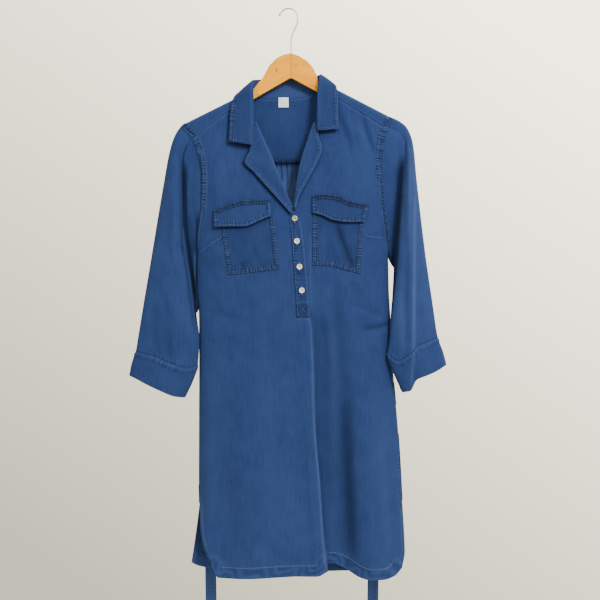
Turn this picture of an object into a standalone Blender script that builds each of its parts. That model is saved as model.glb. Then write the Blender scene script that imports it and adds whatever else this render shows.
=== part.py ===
"""Shirt dress of soft chambray, hung on a two-piece wooden hanger with a wire hook.

Every table is in millimetres and MM turns it into metres. The origin is the inside top of the hook,
+Z is up, the front of the dress faces -Y and the wearer's right side is at -X.
"""
import math

import bmesh
import bpy

MM = 0.001

# Driving sizes
CLOTH = 1.2            # wall of the dress cloth
FOLDED_CLOTH = 1.8     # wall of the cuffs and placket, which are cloth turned double
SEAM_GAP = 0.5         # between two pieces that meet edge to edge
ARMHOLE_GAP = 1.7      # between a sleeve's round top and the armhole, whose rows don't match
LAY_GAP = 0.4          # between a piece and the panel it lies on
LIP = 1.3              # strip that turns the panels' edges square to their seams
HEM_LIP = 0.8          # the same below the vents' top
LIP_TURNS = (0.3, 0.9)  # shares of the way down from there between which it turns along the cloth
SHOULDER_WRAP = 8.0    # drop below the shoulder line over which the cloth rounds the hanger's arm
HANGER_THICK = 11.0    # the hanger's wood, front to back
HANGER_JOINT = 4.6     # x of the joint between the hanger's halves
JOINT_GAP = 0.4        # between the halves
JOINT_TOP = -89.0      # z of the joint's upper and lower ends
JOINT_UNDER = -139.0
WOOD_ROUND = 1.5       # rounding of the wood's edges
HOOK_WIRE = 3.2        # the hook's wire, across
HOOK_TIP = 5.0         # its rounded tip, across
BUTTON_WIDE = 11.5
BUTTON_THICK = 2.6
BUTTON_LIFT = 0.7      # of its back over the placket
TIE_WIDE = 23.0
TIE_THICK = 1.6
VENT_TOP = -993.0      # where both side seams end and the vents open

# The left side edge: armhole from the shoulder's end to the underarm, then the side seam
LEFT_EDGE = (
    # z, x, half depth of the opening or seam there
    (-232.0, -211.0, 9.2),
    (-239.0, -205.0, 9.4),
    (-247.0, -196.5, 9.8),
    (-257.0, -187.0, 10.5),
    (-275.0, -180.5, 12.0),
    (-293.0, -175.6, 13.5),
    (-330.0, -170.8, 15.0),
    (-360.0, -170.8, 15.0),
    (-397.0, -173.0, 13.5),
    (-422.0, -177.0, 11.0),
    (-455.0, -181.5, 6.5),
    (-475.0, -183.0, 2.8),
    (-483.0, -183.5, 1.6),
    (-561.0, -184.5, 1.6),
    (-611.0, -179.5, 1.6),
    (-663.0, -179.0, 1.6),
    (-823.0, -179.5, 1.6),
    (-943.0, -179.8, 1.6),
    (-993.0, -178.5, 1.6),
    (-1043.0, -183.0, 5.0),
    (-1140.0, -190.0, 9.0),
)
RIGHT_EDGE = (
    # z, x, half depth
    (-217.0, 203.5, 9.2),
    (-225.0, 199.0, 9.4),
    (-231.0, 196.0, 9.8),
    (-238.0, 192.5, 10.5),
    (-253.0, 185.0, 12.0),
    (-275.0, 181.5, 13.0),
    (-297.0, 180.0, 13.5),
    (-333.0, 183.0, 15.0),
    (-388.0, 187.0, 14.0),
    (-432.0, 193.6, 11.0),
    (-463.0, 197.0, 7.5),
    (-487.0, 199.0, 3.0),
    (-499.0, 199.6, 1.6),
    (-561.0, 201.0, 1.6),
    (-615.0, 204.0, 1.6),
    (-735.0, 210.4, 1.6),
    (-823.0, 218.0, 1.6),
    (-883.0, 222.4, 1.6),
    (-993.0, 228.5, 1.6),
    (-1043.0, 232.0, 5.0),
    (-1140.0, 235.0, 9.0),
)
UNDERARM_Z = {-1: -483.0, 1: -499.0}
YOKE_CORNER_Z = {-1: -257.0, 1: -238.0}

# How deep the dress hangs before and behind the hanger's plane
DEPTH = (
    # z, front, back, power of the rounding towards the sides
    (-140.0, 9.0, 9.0, 1.0),
    (-200.0, 12.0, 11.0, 1.0),
    (-257.0, 18.0, 15.0, 1.0),
    (-330.0, 25.0, 20.0, 1.0),
    (-430.0, 31.0, 25.0, 1.0),
    (-500.0, 34.0, 27.0, 0.5),
    (-650.0, 35.0, 28.0, 0.5),
    (-850.0, 39.0, 31.0, 0.5),
    (-1000.0, 42.0, 33.0, 0.5),
    (-1145.0, 45.0, 35.0, 0.5),
)
ROUNDING = 2.5         # how flat the middle of the cross-section is

# The shoulder lines, which the cloth bends over: x and z at the neck and at the shoulder's end
SHOULDER = {
    -1: ((-76.0, -164.6), (-211.0, -232.0)),
    1: ((62.0, -144.0), (203.5, -217.0)),
}

# Long soft folds: positive depth is a trough seen from outside, negative a ridge
FRONT_FOLDS = (
    # top x, top z, bottom x, bottom z, half width, depth at top, depth at bottom
    (148.0, -226.0, 174.0, -298.0, 8.0, 1.8, 2.8),
    (103.0, -220.0, 122.0, -292.0, 8.0, 1.5, 2.2),
    (-108.0, -245.0, -122.0, -360.0, 11.0, 1.5, 1.0),
    (104.0, -690.0, 114.0, -1150.0, 24.0, 2.0, 17.0),
    (158.0, -700.0, 178.0, -1150.0, 26.0, -2.0, -7.0),
    (-120.0, -640.0, -128.0, -1150.0, 24.0, 1.0, 5.0),
    (-60.0, -660.0, -66.0, -1150.0, 28.0, -1.0, -4.0),
    (8.0, -640.0, 14.0, -1150.0, 20.0, 1.0, 3.5),
    (118.0, -590.0, 178.0, -612.0, 8.0, 1.0, 3.0),
)
BACK_FOLDS = (
    # top x, top z, bottom x, bottom z, half width, depth at top, depth at bottom
    (-118.0, -420.0, -134.0, -1150.0, 20.0, 2.0, 8.0),
    (-58.0, -470.0, -70.0, -1150.0, 18.0, 2.0, 7.0),
    (4.0, -450.0, 8.0, -1150.0, 22.0, 1.5, 8.0),
    (70.0, -480.0, 84.0, -1150.0, 18.0, 2.0, 6.0),
    (132.0, -430.0, 158.0, -1150.0, 22.0, 2.0, 9.0),
)
FOLD_STEP = (
    # z, how far the right side lies behind the left at the fold under the placket
    (-622.0, 0.0),
    (-668.0, 5.5),
    (-740.0, 8.0),
    (-900.0, 10.5),
    (-1140.0, 12.5),
)
FOLD_REACH = 70.0      # width over which the right side comes forward again

# Rows of the front: the left chest's edge and neck edge, then the right chest's neck edge and edge
FRONT_ROWS = (
    # row, left z, left neck x, left neck z, right neck x, right neck z, right z
    (0.0, -257.0, -76.0, -172.5, 62.0, -156.8, -238.0),
    (1.0, -276.0, -72.5, -198.0, 58.0, -186.0, -258.0),
    (2.0, -296.0, -69.8, -219.0, 54.5, -219.0, -280.0),
    (3.0, -330.0, -52.0, -258.0, 41.5, -258.0, -316.0),
    (4.0, -362.0, -34.6, -295.4, 28.6, -297.0, -350.0),
    (5.0, -396.0, -18.6, -338.0, 19.0, -340.0, -388.0),
    (6.0, -425.0, -4.5, -371.0, 14.0, -372.0, -424.0),
    (7.0, -456.0, 9.0, -403.5, 10.4, -403.5, -462.0),
    (8.0, -484.0, 14.0, -437.0, 15.0, -437.0, -500.0),
    (9.0, -530.0, 21.0, -500.0, 22.0, -500.0, -532.0),
    (10.0, -590.0, 30.0, -578.0, 31.0, -578.0, -590.0),
    (11.0, -640.0, 44.0, -636.0, 45.0, -636.0, -640.0),
    (12.0, -700.0, 47.5, -700.0, 48.5, -700.0, -700.0),
    (13.0, -780.0, 49.3, -780.0, 50.3, -780.0, -780.0),
    (14.0, -860.0, 53.5, -860.0, 54.5, -860.0, -860.0),
    (15.0, -930.0, 59.5, -930.0, 60.5, -930.0, -930.0),
    (16.0, -993.0, 64.0, -993.0, 65.0, -993.0, -993.0),
)
NECK_ROWS = 7          # rows above the bottom of the neck's V, where the chests are apart
SKIRT_ROWS = (0.3, 0.55, 0.75, 0.9, 1.0)   # share of the way from the vents' top to the hem
SKIRT_CENTRE = (
    # z, x of the fold
    (-993.0, 64.0),
    (-1051.0, 67.8),
    (-1081.0, 71.0),
    (-1125.0, 76.0),
)
FRONT_HEM_LEFT = (
    # share from the side to the fold, x, z
    (0.0, -152.0, -1112.0),
    (0.04, -147.5, -1126.0),
    (0.1, -138.0, -1135.0),
    (0.3, -100.0, -1136.0),
    (0.75, 23.0, -1130.5),
    (0.93, 58.0, -1130.5),
    (1.0, 75.5, -1122.0),
)
FRONT_HEM_RIGHT = (
    # share from the fold to the side, x, z
    (0.0, 76.5, -1106.0),
    (0.1, 90.0, -1107.0),
    (0.22, 106.0, -1114.0),
    (0.36, 125.0, -1125.0),
    (0.5, 142.0, -1134.0),
    (0.65, 164.0, -1138.6),
    (0.82, 189.0, -1138.0),
    (0.93, 211.0, -1132.0),
    (1.0, 226.5, -1117.0),
)
FRONT_CORNER_LEFT = ((-993.0, -178.5), (-1043.0, -175.6), (-1080.0, -168.0), (-1112.0, -152.0))
FRONT_CORNER_RIGHT = ((-993.0, 228.5), (-1050.0, 231.5), (-1085.0, 232.8), (-1117.0, 226.5))
PLEAT_UNDER = 14.6     # how far the fold under the placket doubles back at the hem
PLEAT_OPENS = 7.0      # step behind the fold from which it doubles back
PLEAT_GROWS = 4.2      # added step over which it does so
PLEAT = (
    # share of the way back under, x past it where the fold is shut and added where it is open,
    # share of the step behind, rise
    (0.0, 1.8, 0.3, 0.22, 0.0),
    (0.0, 1.0, 1.2, 0.56, 0.4),
    (1.0, 0.0, 6.3, 0.66, 3.0),
    (1.0, -0.8, 9.2, 0.76, 4.0),
    (1.0, 0.0, 11.2, 0.86, 5.0),
)

BACK_HEM = (
    # share across, z
    (0.0, -1110.0),
    (0.03, -1118.0),
    (0.1, -1125.0),
    (0.3, -1130.0),
    (0.6, -1131.0),
    (0.9, -1130.0),
    (0.97, -1124.0),
    (1.0, -1108.0),
)
BACK_EDGE_LEFT = ((-993.0, -178.5), (-1023.0, -182.2), (-1059.0, -187.2), (-1110.0, -195.0))
BACK_EDGE_RIGHT = ((-993.0, 228.5), (-1050.0, 231.0), (-1080.0, 231.5), (-1108.0, 226.0))
BACK_SEAM = {-1: -309.0, 1: -296.0}    # z of the back yoke seam at the left and right armholes
BACK_TOP_ROWS = (0.0, 0.02, 0.06, 0.12, 0.2, 0.3, 0.42, 0.56, 0.7, 0.83)
BACK_SKIRT_ROWS = (0.35, 0.65, 0.88, 1.0)
GATHERS = 14           # gathers under the back yoke
GATHER_FROM = -75.0
GATHER_TO = 85.0
GATHER_DEPTH = 3.2     # at the seam
GATHER_FADE = 0.36     # share of the back's height over which they die away
SIDE_COLUMNS = (0.0, 0.01, 0.05, 0.14, 0.3, 0.5, 0.75, 1.0)

NECK_CURVE = (
    # share round the back neck, x, z
    (0.0, -76.0, -164.6),
    (0.12, -67.0, -176.0),
    (0.3, -42.0, -180.5),
    (0.5, -4.0, -180.5),
    (0.7, 33.0, -177.0),
    (0.88, 54.0, -163.0),
    (1.0, 62.0, -144.0),
)

# The collar's sections: neck seam, roll and leaf edge
COLLAR = (
    # share, seam x, y, z, roll x, y, z, edge x, y, z
    (0.00, -73.5, -28.5, -273.5, -70.8, -31.0, -274.6, -116.8, -27.5, -267.2),
    (0.08, -72.5, -26.5, -246.0, -70.0, -30.0, -247.0, -116.6, -25.0, -242.0),
    (0.16, -71.5, -20.0, -219.5, -69.0, -26.5, -219.0, -116.2, -22.0, -214.0),
    (0.23, -72.5, -16.0, -192.0, -69.5, -23.0, -186.0, -113.8, -18.0, -192.0),
    (0.28, -73.0, -14.0, -170.0, -70.0, -17.5, -160.0, -110.0, -12.5, -178.5),
    (0.32, -73.0, -2.0, -158.5, -68.5, -3.0, -142.5, -106.0, -2.0, -173.0),
    (0.36, -70.0, 9.5, -159.5, -64.0, 12.0, -140.0, -99.0, 12.0, -177.0),
    (0.42, -48.0, 12.5, -177.0, -42.0, 17.0, -138.5, -68.0, 20.5, -194.0),
    (0.50, -4.0, 12.5, -178.3, -3.0, 19.0, -137.0, -5.0, 24.0, -202.0),
    (0.58, 40.0, 12.5, -172.5, 36.0, 17.0, -134.0, 58.0, 20.5, -186.0),
    (0.64, 59.0, 9.5, -141.0, 57.5, 12.0, -131.0, 86.5, 12.0, -158.0),
    (0.68, 63.0, -2.0, -138.5, 62.5, -3.0, -130.8, 93.0, -2.0, -151.5),
    (0.72, 62.0, -14.0, -150.0, 60.5, -17.5, -143.0, 96.5, -12.5, -160.0),
    (0.77, 59.5, -16.0, -176.0, 57.5, -23.0, -170.0, 97.6, -18.0, -176.0),
    (0.84, 58.5, -19.0, -200.0, 57.0, -25.0, -199.0, 98.0, -20.5, -197.0),
    (0.92, 59.5, -24.0, -222.0, 56.8, -28.0, -222.5, 98.0, -22.5, -220.0),
    (1.00, 60.5, -26.0, -244.0, 57.0, -29.0, -245.4, 97.8, -25.0, -241.6),
)
COLLAR_STATIONS = 34
COLLAR_SECTION = (
    # share from seam to roll, share from roll to edge, distance out from the stand
    (0.0, 0.0, 0.0),
    (0.5, 0.0, -0.4),
    (0.93, 0.0, -0.4),
    (1.0, 0.0, 0.6),
    (1.0, 0.01, 2.4),
    (1.0, 0.07, 3.5),
    (1.0, 0.4, 3.2),
    (1.0, 0.72, 1.8),
    (1.0, 1.0, 0.0),
)

LAPEL_LEFT = (
    # row, roll x, roll z, outer x, outer z
    (0.0, -65.5, -228.0, -71.0, -230.0),
    (1.0, -57.0, -247.0, -73.5, -256.0),
    (2.0, -45.0, -273.0, -77.0, -284.0),
    (3.0, -36.0, -293.0, -87.6, -308.5),
    (4.0, -27.0, -317.0, -69.5, -328.5),
    (5.0, -17.0, -341.0, -50.0, -350.0),
    (6.0, -8.0, -363.0, -28.5, -373.5),
    (7.0, 1.0, -384.0, -8.5, -395.5),
    (8.0, 7.6, -399.5, 6.0, -411.0),
)
LAPEL_RIGHT = (
    # row, roll x, roll z, outer x, outer z
    (0.0, 51.0, -229.0, 57.0, -231.0),
    (1.0, 44.5, -248.0, 59.6, -254.2),
    (2.0, 35.0, -277.0, 66.2, -281.0),
    (3.0, 27.5, -300.0, 60.0, -302.5),
    (4.0, 20.8, -330.0, 45.0, -332.0),
    (5.0, 16.2, -360.0, 29.0, -360.5),
    (6.0, 13.2, -382.0, 18.5, -382.5),
)
LAPEL_SECTION = (
    # share from roll to outer edge, height over the chest
    (0.0, -0.2),
    (0.0, 2.2),
    (0.07, 4.0),
    (0.3, 4.6),
    (0.65, 4.4),
    (1.0, 5.4),
)
LAPEL_TURN = (2.0, 1.6)    # how far the first points turn in behind the roll

PLACKET = (
    # row, left x, left z, right x, right z
    (0.0, 2.0, -419.0, 18.5, -414.5),
    (1.0, 3.5, -434.0, 26.0, -438.0),
    (2.0, 7.0, -475.0, 31.5, -478.0),
    (3.0, 11.4, -529.0, 36.0, -529.0),
    (4.0, 15.0, -588.0, 40.8, -586.0),
    (5.0, 16.0, -617.0, 42.0, -616.5),
)
BUTTONS = (
    # x, z
    (12.6, -421.0),
    (16.8, -466.0),
    (22.0, -517.0),
    (26.6, -564.0),
)

# Patch pockets and flaps: their upper and lower edges from left to right
POCKETS = (
    # name, upper edge, lower edge, as x, z
    (
        "pocket_L",
        ((-136.5, -420.0), (-110.0, -419.0), (-70.0, -418.0), (-29.0, -418.0)),
        ((-119.6, -533.0), (-86.0, -530.0), (-51.0, -526.0), (-17.4, -521.4)),
    ),
    (
        "pocket_R",
        ((48.5, -402.0), (83.0, -406.0), (118.0, -410.0), (150.5, -414.0)),
        ((47.8, -514.5), (80.0, -515.5), (112.0, -523.0), (142.4, -531.6)),
    ),
)
FLAPS = (
    # name, upper edge, lower edge, as x, z
    (
        "flap_L",
        ((-150.2, -404.0), (-113.0, -389.0), (-88.0, -383.6), (-62.0, -382.4), (-36.0, -382.0)),
        ((-147.5, -437.0), (-118.0, -437.0), (-89.0, -437.0), (-58.0, -425.6), (-35.2, -415.8)),
    ),
    (
        "flap_R",
        ((47.2, -375.0), (68.0, -371.8), (95.0, -374.5), (128.0, -386.6), (160.0, -392.0)),
        ((48.0, -410.0), (66.0, -414.5), (90.0, -425.0), (118.0, -428.4), (150.2, -427.6)),
    ),
)
FLAP_RISE = (
    # share from upper to lower edge, height of the flap's face over the chest
    (0.0, 4.2),
    (0.25, 4.6),
    (0.6, 5.6),
    (1.0, 7.4),
)
POCKET_LIFT = 1.7      # height of a pocket's face over the chest

# Sleeves: lines from the shoulder to the cuff seam
SLEEVES = {
    "sleeve_L": {
        "side": -1,
        "outer": (
            # share, x, y, z
            (0.0, -211.5, 0.0, -233.0),
            (0.05, -222.0, 0.0, -245.6),
            (0.11, -231.0, 0.0, -264.0),
            (0.2, -239.2, -1.0, -293.8),
            (0.33, -249.0, -2.0, -349.0),
            (0.5, -262.0, -4.0, -426.0),
            (0.66, -275.0, -7.0, -507.0),
            (0.83, -290.0, -10.0, -598.0),
            (1.0, -304.2, -12.0, -687.2),
        ),
        "fold": (
            (0.0, -188.5, -10.5, -257.0),
            (0.05, -204.0, -11.0, -272.0),
            (0.11, -213.0, -11.5, -300.0),
            (0.2, -213.5, -12.0, -350.0),
            (0.33, -212.0, -13.0, -425.0),
            (0.5, -204.5, -13.5, -493.0),
            (0.66, -196.5, -14.0, -548.0),
            (0.83, -187.5, -15.0, -618.0),
            (0.92, -181.5, -15.5, -664.0),
            (1.0, -183.0, -15.5, -713.0),
        ),
        "inner": (
            (0.0, -185.2, 0.0, -483.0),
            (0.1, -187.5, 0.0, -500.0),
            (0.25, -189.0, -0.5, -522.0),
            (0.45, -190.5, -1.0, -556.0),
            (0.65, -190.0, -2.0, -590.0),
            (0.8, -186.5, -4.5, -622.0),
            (0.92, -180.8, -7.0, -664.0),
            (1.0, -182.2, -8.5, -714.0),
        ),
    },
    "sleeve_R": {
        "side": 1,
        "outer": (
            (0.0, 204.0, 0.0, -218.0),
            (0.05, 219.0, 0.0, -224.5),
            (0.11, 236.0, 0.0, -238.0),
            (0.2, 248.5, -1.0, -270.0),
            (0.33, 255.5, -3.0, -338.0),
            (0.5, 264.5, -6.0, -421.0),
            (0.66, 274.5, -10.0, -504.0),
            (0.83, 286.0, -15.0, -585.0),
            (1.0, 296.0, -20.0, -658.0),
        ),
        "fold": (
            (0.0, 194.0, -10.5, -238.0),
            (0.05, 218.0, -11.0, -247.0),
            (0.11, 233.0, -12.0, -276.0),
            (0.2, 228.8, -13.0, -330.0),
            (0.33, 222.8, -14.5, -403.0),
            (0.5, 218.5, -16.0, -475.0),
            (0.66, 215.5, -18.0, -528.0),
            (0.83, 206.5, -23.0, -612.0),
            (0.92, 203.2, -24.0, -660.0),
            (1.0, 198.0, -25.0, -690.0),
        ),
        "inner": (
            (0.0, 201.3, 0.0, -499.0),
            (0.1, 206.5, -0.5, -510.0),
            (0.25, 214.5, -2.0, -525.0),
            (0.45, 212.8, -3.5, -552.0),
            (0.65, 208.2, -8.0, -590.0),
            (0.8, 205.5, -12.5, -630.0),
            (0.92, 202.6, -16.0, -661.0),
            (1.0, 197.2, -17.0, -691.0),
        ),
    },
}
SLEEVE_DEPTH = (
    # share, front bulge, back bulge, valley behind the fold
    (0.0, 0.0, 0.0, 0.0),
    (0.1, 6.0, 6.0, 5.0),
    (0.25, 11.0, 11.0, 8.0),
    (0.5, 13.0, 14.0, 9.0),
    (0.75, 13.0, 14.0, 8.0),
    (1.0, 11.0, 12.0, 3.0),
)
VALLEY_WIDTH = 45.0    # width from the fold to the inner edge that the whole valley needs
SLEEVE_RIDGE = 4.0     # soft ridge down the middle of the right sleeve's front
SLEEVE_ROWS = 15
SLEEVE_FRONT = 7       # columns from the outer edge to the fold
SLEEVE_UNDER = 8       # columns from the fold to the inner edge
SLEEVE_BACK = 12       # columns behind

CUFFS = {
    "cuff_L": {
        "sleeve": "sleeve_L",
        "seam": (
            # share from the outer to the inner edge, x, z
            (0.0, -304.2, -687.2),
            (0.28, -269.8, -695.8),
            (0.62, -227.8, -715.0),
            (0.82, -204.8, -721.5),
            (1.0, -182.2, -714.0),
        ),
        "edge": (
            (0.0, -314.8, -734.2),
            (0.3, -284.0, -749.5),
            (0.6, -254.0, -764.0),
            (0.86, -224.0, -775.5),
            (1.0, -207.5, -776.8),
        ),
        "middle": (-16.0, 15.0, 15.0),
    },
    "cuff_R": {
        "sleeve": "sleeve_R",
        "seam": (
            (0.0, 296.0, -658.0),
            (0.2, 276.0, -668.0),
            (0.4, 254.8, -678.0),
            (0.5, 246.0, -691.0),
            (0.75, 220.0, -707.5),
            (1.0, 197.2, -691.0),
        ),
        "edge": (
            (0.0, 311.4, -713.0),
            (0.2, 294.0, -724.0),
            (0.42, 274.0, -732.5),
            (0.62, 254.0, -742.0),
            (0.8, 243.0, -763.0),
            (1.0, 229.0, -766.0),
        ),
        "middle": (-26.0, 13.0, 13.0),
    },
}
CUFF_ROWS = 4
CUFF_STEP = 0.13       # gap at a cuff's seam, as a share of the sleeve's last step

HANGER_TOP = (
    # x, z along the upper edge, left end to right end
    (-196.0, -236.6),
    (-190.0, -228.1),
    (-150.0, -208.6),
    (-110.0, -189.1),
    (-84.0, -176.5),
    (-75.0, -171.0),
    (-69.5, -160.5),
    (-50.0, -136.5),
    (-38.0, -113.5),
    (-24.0, -99.0),
    (-10.0, -91.5),
    (4.6, -89.0),
    (20.8, -93.8),
    (36.2, -103.6),
    (47.6, -116.2),
    (55.0, -130.5),
    (58.0, -142.0),
    (59.5, -152.5),
    (64.0, -154.0),
    (80.0, -161.5),
    (120.0, -181.6),
    (160.0, -202.1),
    (184.0, -214.1),
    (190.0, -222.6),
)
HANGER_UNDER = (
    # x, z along the lower edge, right end to left end
    (188.0, -229.5),
    (182.0, -232.5),
    (140.0, -210.5),
    (100.0, -189.0),
    (57.4, -166.6),
    (4.6, -139.0),
    (-71.0, -181.6),
    (-110.0, -206.0),
    (-150.0, -228.0),
    (-188.0, -246.0),
    (-195.0, -243.0),
)
HOOK_ROUTE = (
    # x, z from the foot inside the wood to the tip
    (5.2, -110.0),
    (5.2, -86.0),
    (5.4, -62.0),
    (9.0, -48.0),
    (15.0, -35.0),
    (18.4, -23.0),
    (17.0, -10.5),
    (10.5, -1.0),
    (0.0, 2.0),
    (-9.0, -0.5),
    (-15.0, -7.0),
    (-18.2, -13.0),
)

TIES = {
    # name: x at the waist, x at the lower end, waist z, lower end z
    "tie_L": (-160.0, -155.5, -598.0, -1290.0),
    "tie_R": (176.0, 170.0, -592.0, -1282.0),
}
TIE_LIFT = 2.6         # height of a tie's inner face over the back
TIE_LEAVES = -1110.0   # z below which the ties hang free of the back's hem
TIE_RETURN = 6.0       # how far they swing back towards the middle plane there
TIE_RETURN_LENGTH = 180.0
LABEL = ((-21.4, -183.0), (1.0, -203.0))   # two corners, x and z
LABEL_CLOTH = 0.8
LABEL_LIFT = 0.6       # between the label and the yoke's inner face

COLOURS = {
    # name: red, green, blue, roughness, metallic
    "chambray": (0.035, 0.09, 0.24, 0.85, 0.0),
    "pearl": (0.82, 0.82, 0.78, 0.25, 0.0),
    "label": (0.8, 0.82, 0.85, 0.8, 0.0),
    "wood": (0.72, 0.45, 0.18, 0.5, 0.0),
    "steel": (0.6, 0.6, 0.6, 0.3, 1.0),
}


# ---------------------------------------------------------------- curves and surfaces

def slope_at(rows, i, column):
    """Slope of a column at row i that lets the curve follow the rows without overshoot."""
    def step(j):
        return (rows[j + 1][column] - rows[j][column]) / (rows[j + 1][0] - rows[j][0])
    if i == 0:
        return step(0)
    if i == len(rows) - 1:
        return step(i - 1)
    before, after = step(i - 1), step(i)
    if before * after <= 0:
        return 0.0
    return 2 * before * after / (before + after)


def read(rows, t):
    """Values of a table's columns at t, on smooth curves through its rows."""
    if rows[0][0] > rows[-1][0]:
        rows = rows[::-1]
    if t <= rows[0][0]:
        return rows[0][1:]
    if t >= rows[-1][0]:
        return rows[-1][1:]
    i = max(k for k in range(len(rows) - 1) if rows[k][0] <= t)
    span = rows[i + 1][0] - rows[i][0]
    s = (t - rows[i][0]) / span
    values = []
    for c in range(1, len(rows[0])):
        a, b = rows[i][c], rows[i + 1][c]
        m, n = slope_at(rows, i, c) * span, slope_at(rows, i + 1, c) * span
        values.append(
            a * (2 * s**3 - 3 * s**2 + 1) + m * (s**3 - 2 * s**2 + s)
            + b * (3 * s**2 - 2 * s**3) + n * (s**3 - s**2)
        )
    return tuple(values)


def mix(a, b, t):
    return a + (b - a) * t


def mix_points(a, b, t):
    return tuple(mix(p, q, t) for p, q in zip(a, b))


def ease(t):
    t = min(max(t, 0.0), 1.0)
    return t * t * (3 - 2 * t)


def spread(count):
    """Shares from 0 to 1, closer together at both ends."""
    return [(1 - math.cos(math.pi * i / count)) / 2 for i in range(count + 1)]


def along(points, t):
    """Point at share t of a smooth line through points given as x, z."""
    rows = [(i / (len(points) - 1), *p) for i, p in enumerate(points)]
    return read(rows, t)


def shoulder_z(x):
    """Height of the shoulder line, straight between the two necks."""
    left_neck, left_end = SHOULDER[-1]
    right_neck, right_end = SHOULDER[1]
    line = [left_end, left_neck, right_neck, right_end]
    for (x0, z0), (x1, z1) in zip(line, line[1:]):
        if x <= x1 or (x1, z1) == right_end:
            return mix(z0, z1, (x - x0) / (x1 - x0))


def fold_sum(folds, x, z):
    total = 0.0
    for x0, z0, x1, z1, half_width, top_depth, bottom_depth in folds:
        dx, dz = x1 - x0, z1 - z0
        length = math.hypot(dx, dz)
        t = ((x - x0) * dx + (z - z0) * dz) / length**2
        if -0.2 < t < 1.2:
            aside = ((x - x0) * dz - (z - z0) * dx) / length
            ends = ease((t + 0.2) / 0.4) * ease((1.2 - t) / 0.2)
            depth = mix(top_depth, bottom_depth, min(max(t, 0), 1))
            total += depth * ends * math.exp(-(aside / half_width) ** 2)
    return total


def shoulder_wrap(x, z):
    """Rounding over the hanger's arm: 0 on the shoulder line, 1 from SHOULDER_WRAP below it."""
    drop = min(max((shoulder_z(x) - z) / SHOULDER_WRAP, 0.0), 1.0)
    return math.sqrt(1 - (1 - drop) ** 2)


def depth_at(x, z, behind):
    """Distance of the cloth's outer face from the hanger's plane."""
    left_x, left_half = read(LEFT_EDGE, z)
    right_x, right_half = read(RIGHT_EDGE, z)
    middle, half_width = (left_x + right_x) / 2, (right_x - left_x) / 2
    u = min(max((x - middle) / half_width, -1.0), 1.0)
    edge = mix(left_half, right_half, (u + 1) / 2)
    front, back, power = read(DEPTH, z)
    deep = back if behind else front
    lens = (1 - abs(u) ** ROUNDING) ** power
    folds = fold_sum(BACK_FOLDS if behind else FRONT_FOLDS, x, z)
    calm = ease((1 - abs(u)) / 0.12) * ease((deep - edge) / 8.0)
    return shoulder_wrap(x, z) * (edge + max(deep - edge, 0.0) * lens) - folds * calm


def front_y(x, z):
    return -depth_at(x, z, False)


def back_y(x, z):
    return depth_at(x, z, True)


def fold_step(x, z):
    """How far the right side's cloth lies back beside the fold under the placket."""
    fold_x = read(SKIRT_CENTRE, z)[0] if z < VENT_TOP else read(CENTRE_LINE, z)[0]
    return read(FOLD_STEP, z)[0] * math.exp(-max(x - fold_x, 0.0) / FOLD_REACH)


CENTRE_LINE = tuple((row[3], row[2]) for row in FRONT_ROWS[NECK_ROWS:])


def edge_turn(side, z):
    """Direction of the lip: along the cloth at the armhole, square to it at the side seam."""
    underarm = UNDERARM_Z[side]
    return ease((underarm + 30.0 - z) / 28.0) * math.pi / 2


def edge_y(side, z):
    """Distance of a panel's edge from the middle plane."""
    half = read(LEFT_EDGE if side < 0 else RIGHT_EDGE, z)[1]
    near_underarm = math.exp(-((z - UNDERARM_Z[side]) / 30.0) ** 2)
    return max(half - LIP * math.sin(edge_turn(side, z)), (1 + 2 * near_underarm) * SEAM_GAP / 2)


# ---------------------------------------------------------------- objects

def make_material(name):
    material = bpy.data.materials.new(name)
    material.use_nodes = True
    shader = material.node_tree.nodes["Principled BSDF"]
    kind = next(key for key in COLOURS if name.startswith(key))
    red, green, blue, roughness, metallic = COLOURS[kind]
    shader.inputs["Base Color"].default_value = (red, green, blue, 1.0)
    shader.inputs["Roughness"].default_value = roughness
    shader.inputs["Metallic"].default_value = metallic
    material.diffuse_color = (red, green, blue, 1.0)
    return material


def add_object(name, data, kind, collection):
    obj = bpy.data.objects.new(name, data)
    collection.objects.link(obj)
    data.materials.append(make_material(kind + "_" + name))
    return obj


def sheet(name, grid, wall, collection, closed=False, kind="chambray", smooth=True):
    """Shell of a wall's thickness inside a grid of points. None leaves a hole in the grid."""
    bm = bmesh.new()
    vertices = [[p and bm.verts.new([c * MM for c in p]) for p in row] for row in grid]
    for upper, lower in zip(vertices, vertices[1:]):
        count = len(upper)
        for i in range(count if closed else count - 1):
            j = (i + 1) % count
            corners = (upper[i], lower[i], lower[j], upper[j])
            if all(corners):
                bm.faces.new(corners)
    mesh = bpy.data.meshes.new(name)
    bm.to_mesh(mesh)
    bm.free()
    if smooth:
        mesh.shade_smooth()
    obj = add_object(name, mesh, kind, collection)
    solidify = obj.modifiers.new("wall", "SOLIDIFY")
    solidify.thickness = wall * MM
    solidify.offset = -1.0
    return obj


def swapped(grid):
    """The same grid with its columns reversed, which turns its faces over."""
    return [row[::-1] for row in grid]


# ---------------------------------------------------------------- front

def pleat(x, z, front, step, amount):
    """Columns of the fold under the placket, from the left side's edge round to the right side."""
    columns = []
    for under, past, opened, behind, rise in PLEAT:
        column_x = x - under * PLEAT_UNDER * amount + past + opened * (1 - amount)
        columns.append((column_x, front + step * behind, z + rise * amount))
    return columns


def front_side_columns(side, edge_x, edge_z, neck_x, neck_z, shares):
    """Points from a side edge to the neck, the placket or the fold."""
    points = []
    turn = edge_turn(side, edge_z)
    lip_x = edge_x + side * LIP * math.cos(turn)
    points.append((lip_x, -edge_y(side, edge_z), edge_z))
    for share in shares:
        x, z = mix(edge_x, neck_x, share), mix(edge_z, neck_z, share)
        y = front_y(x, z)
        if side > 0:
            y += fold_step(x, z)
        points.append((x, y, z))
    return points


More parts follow.
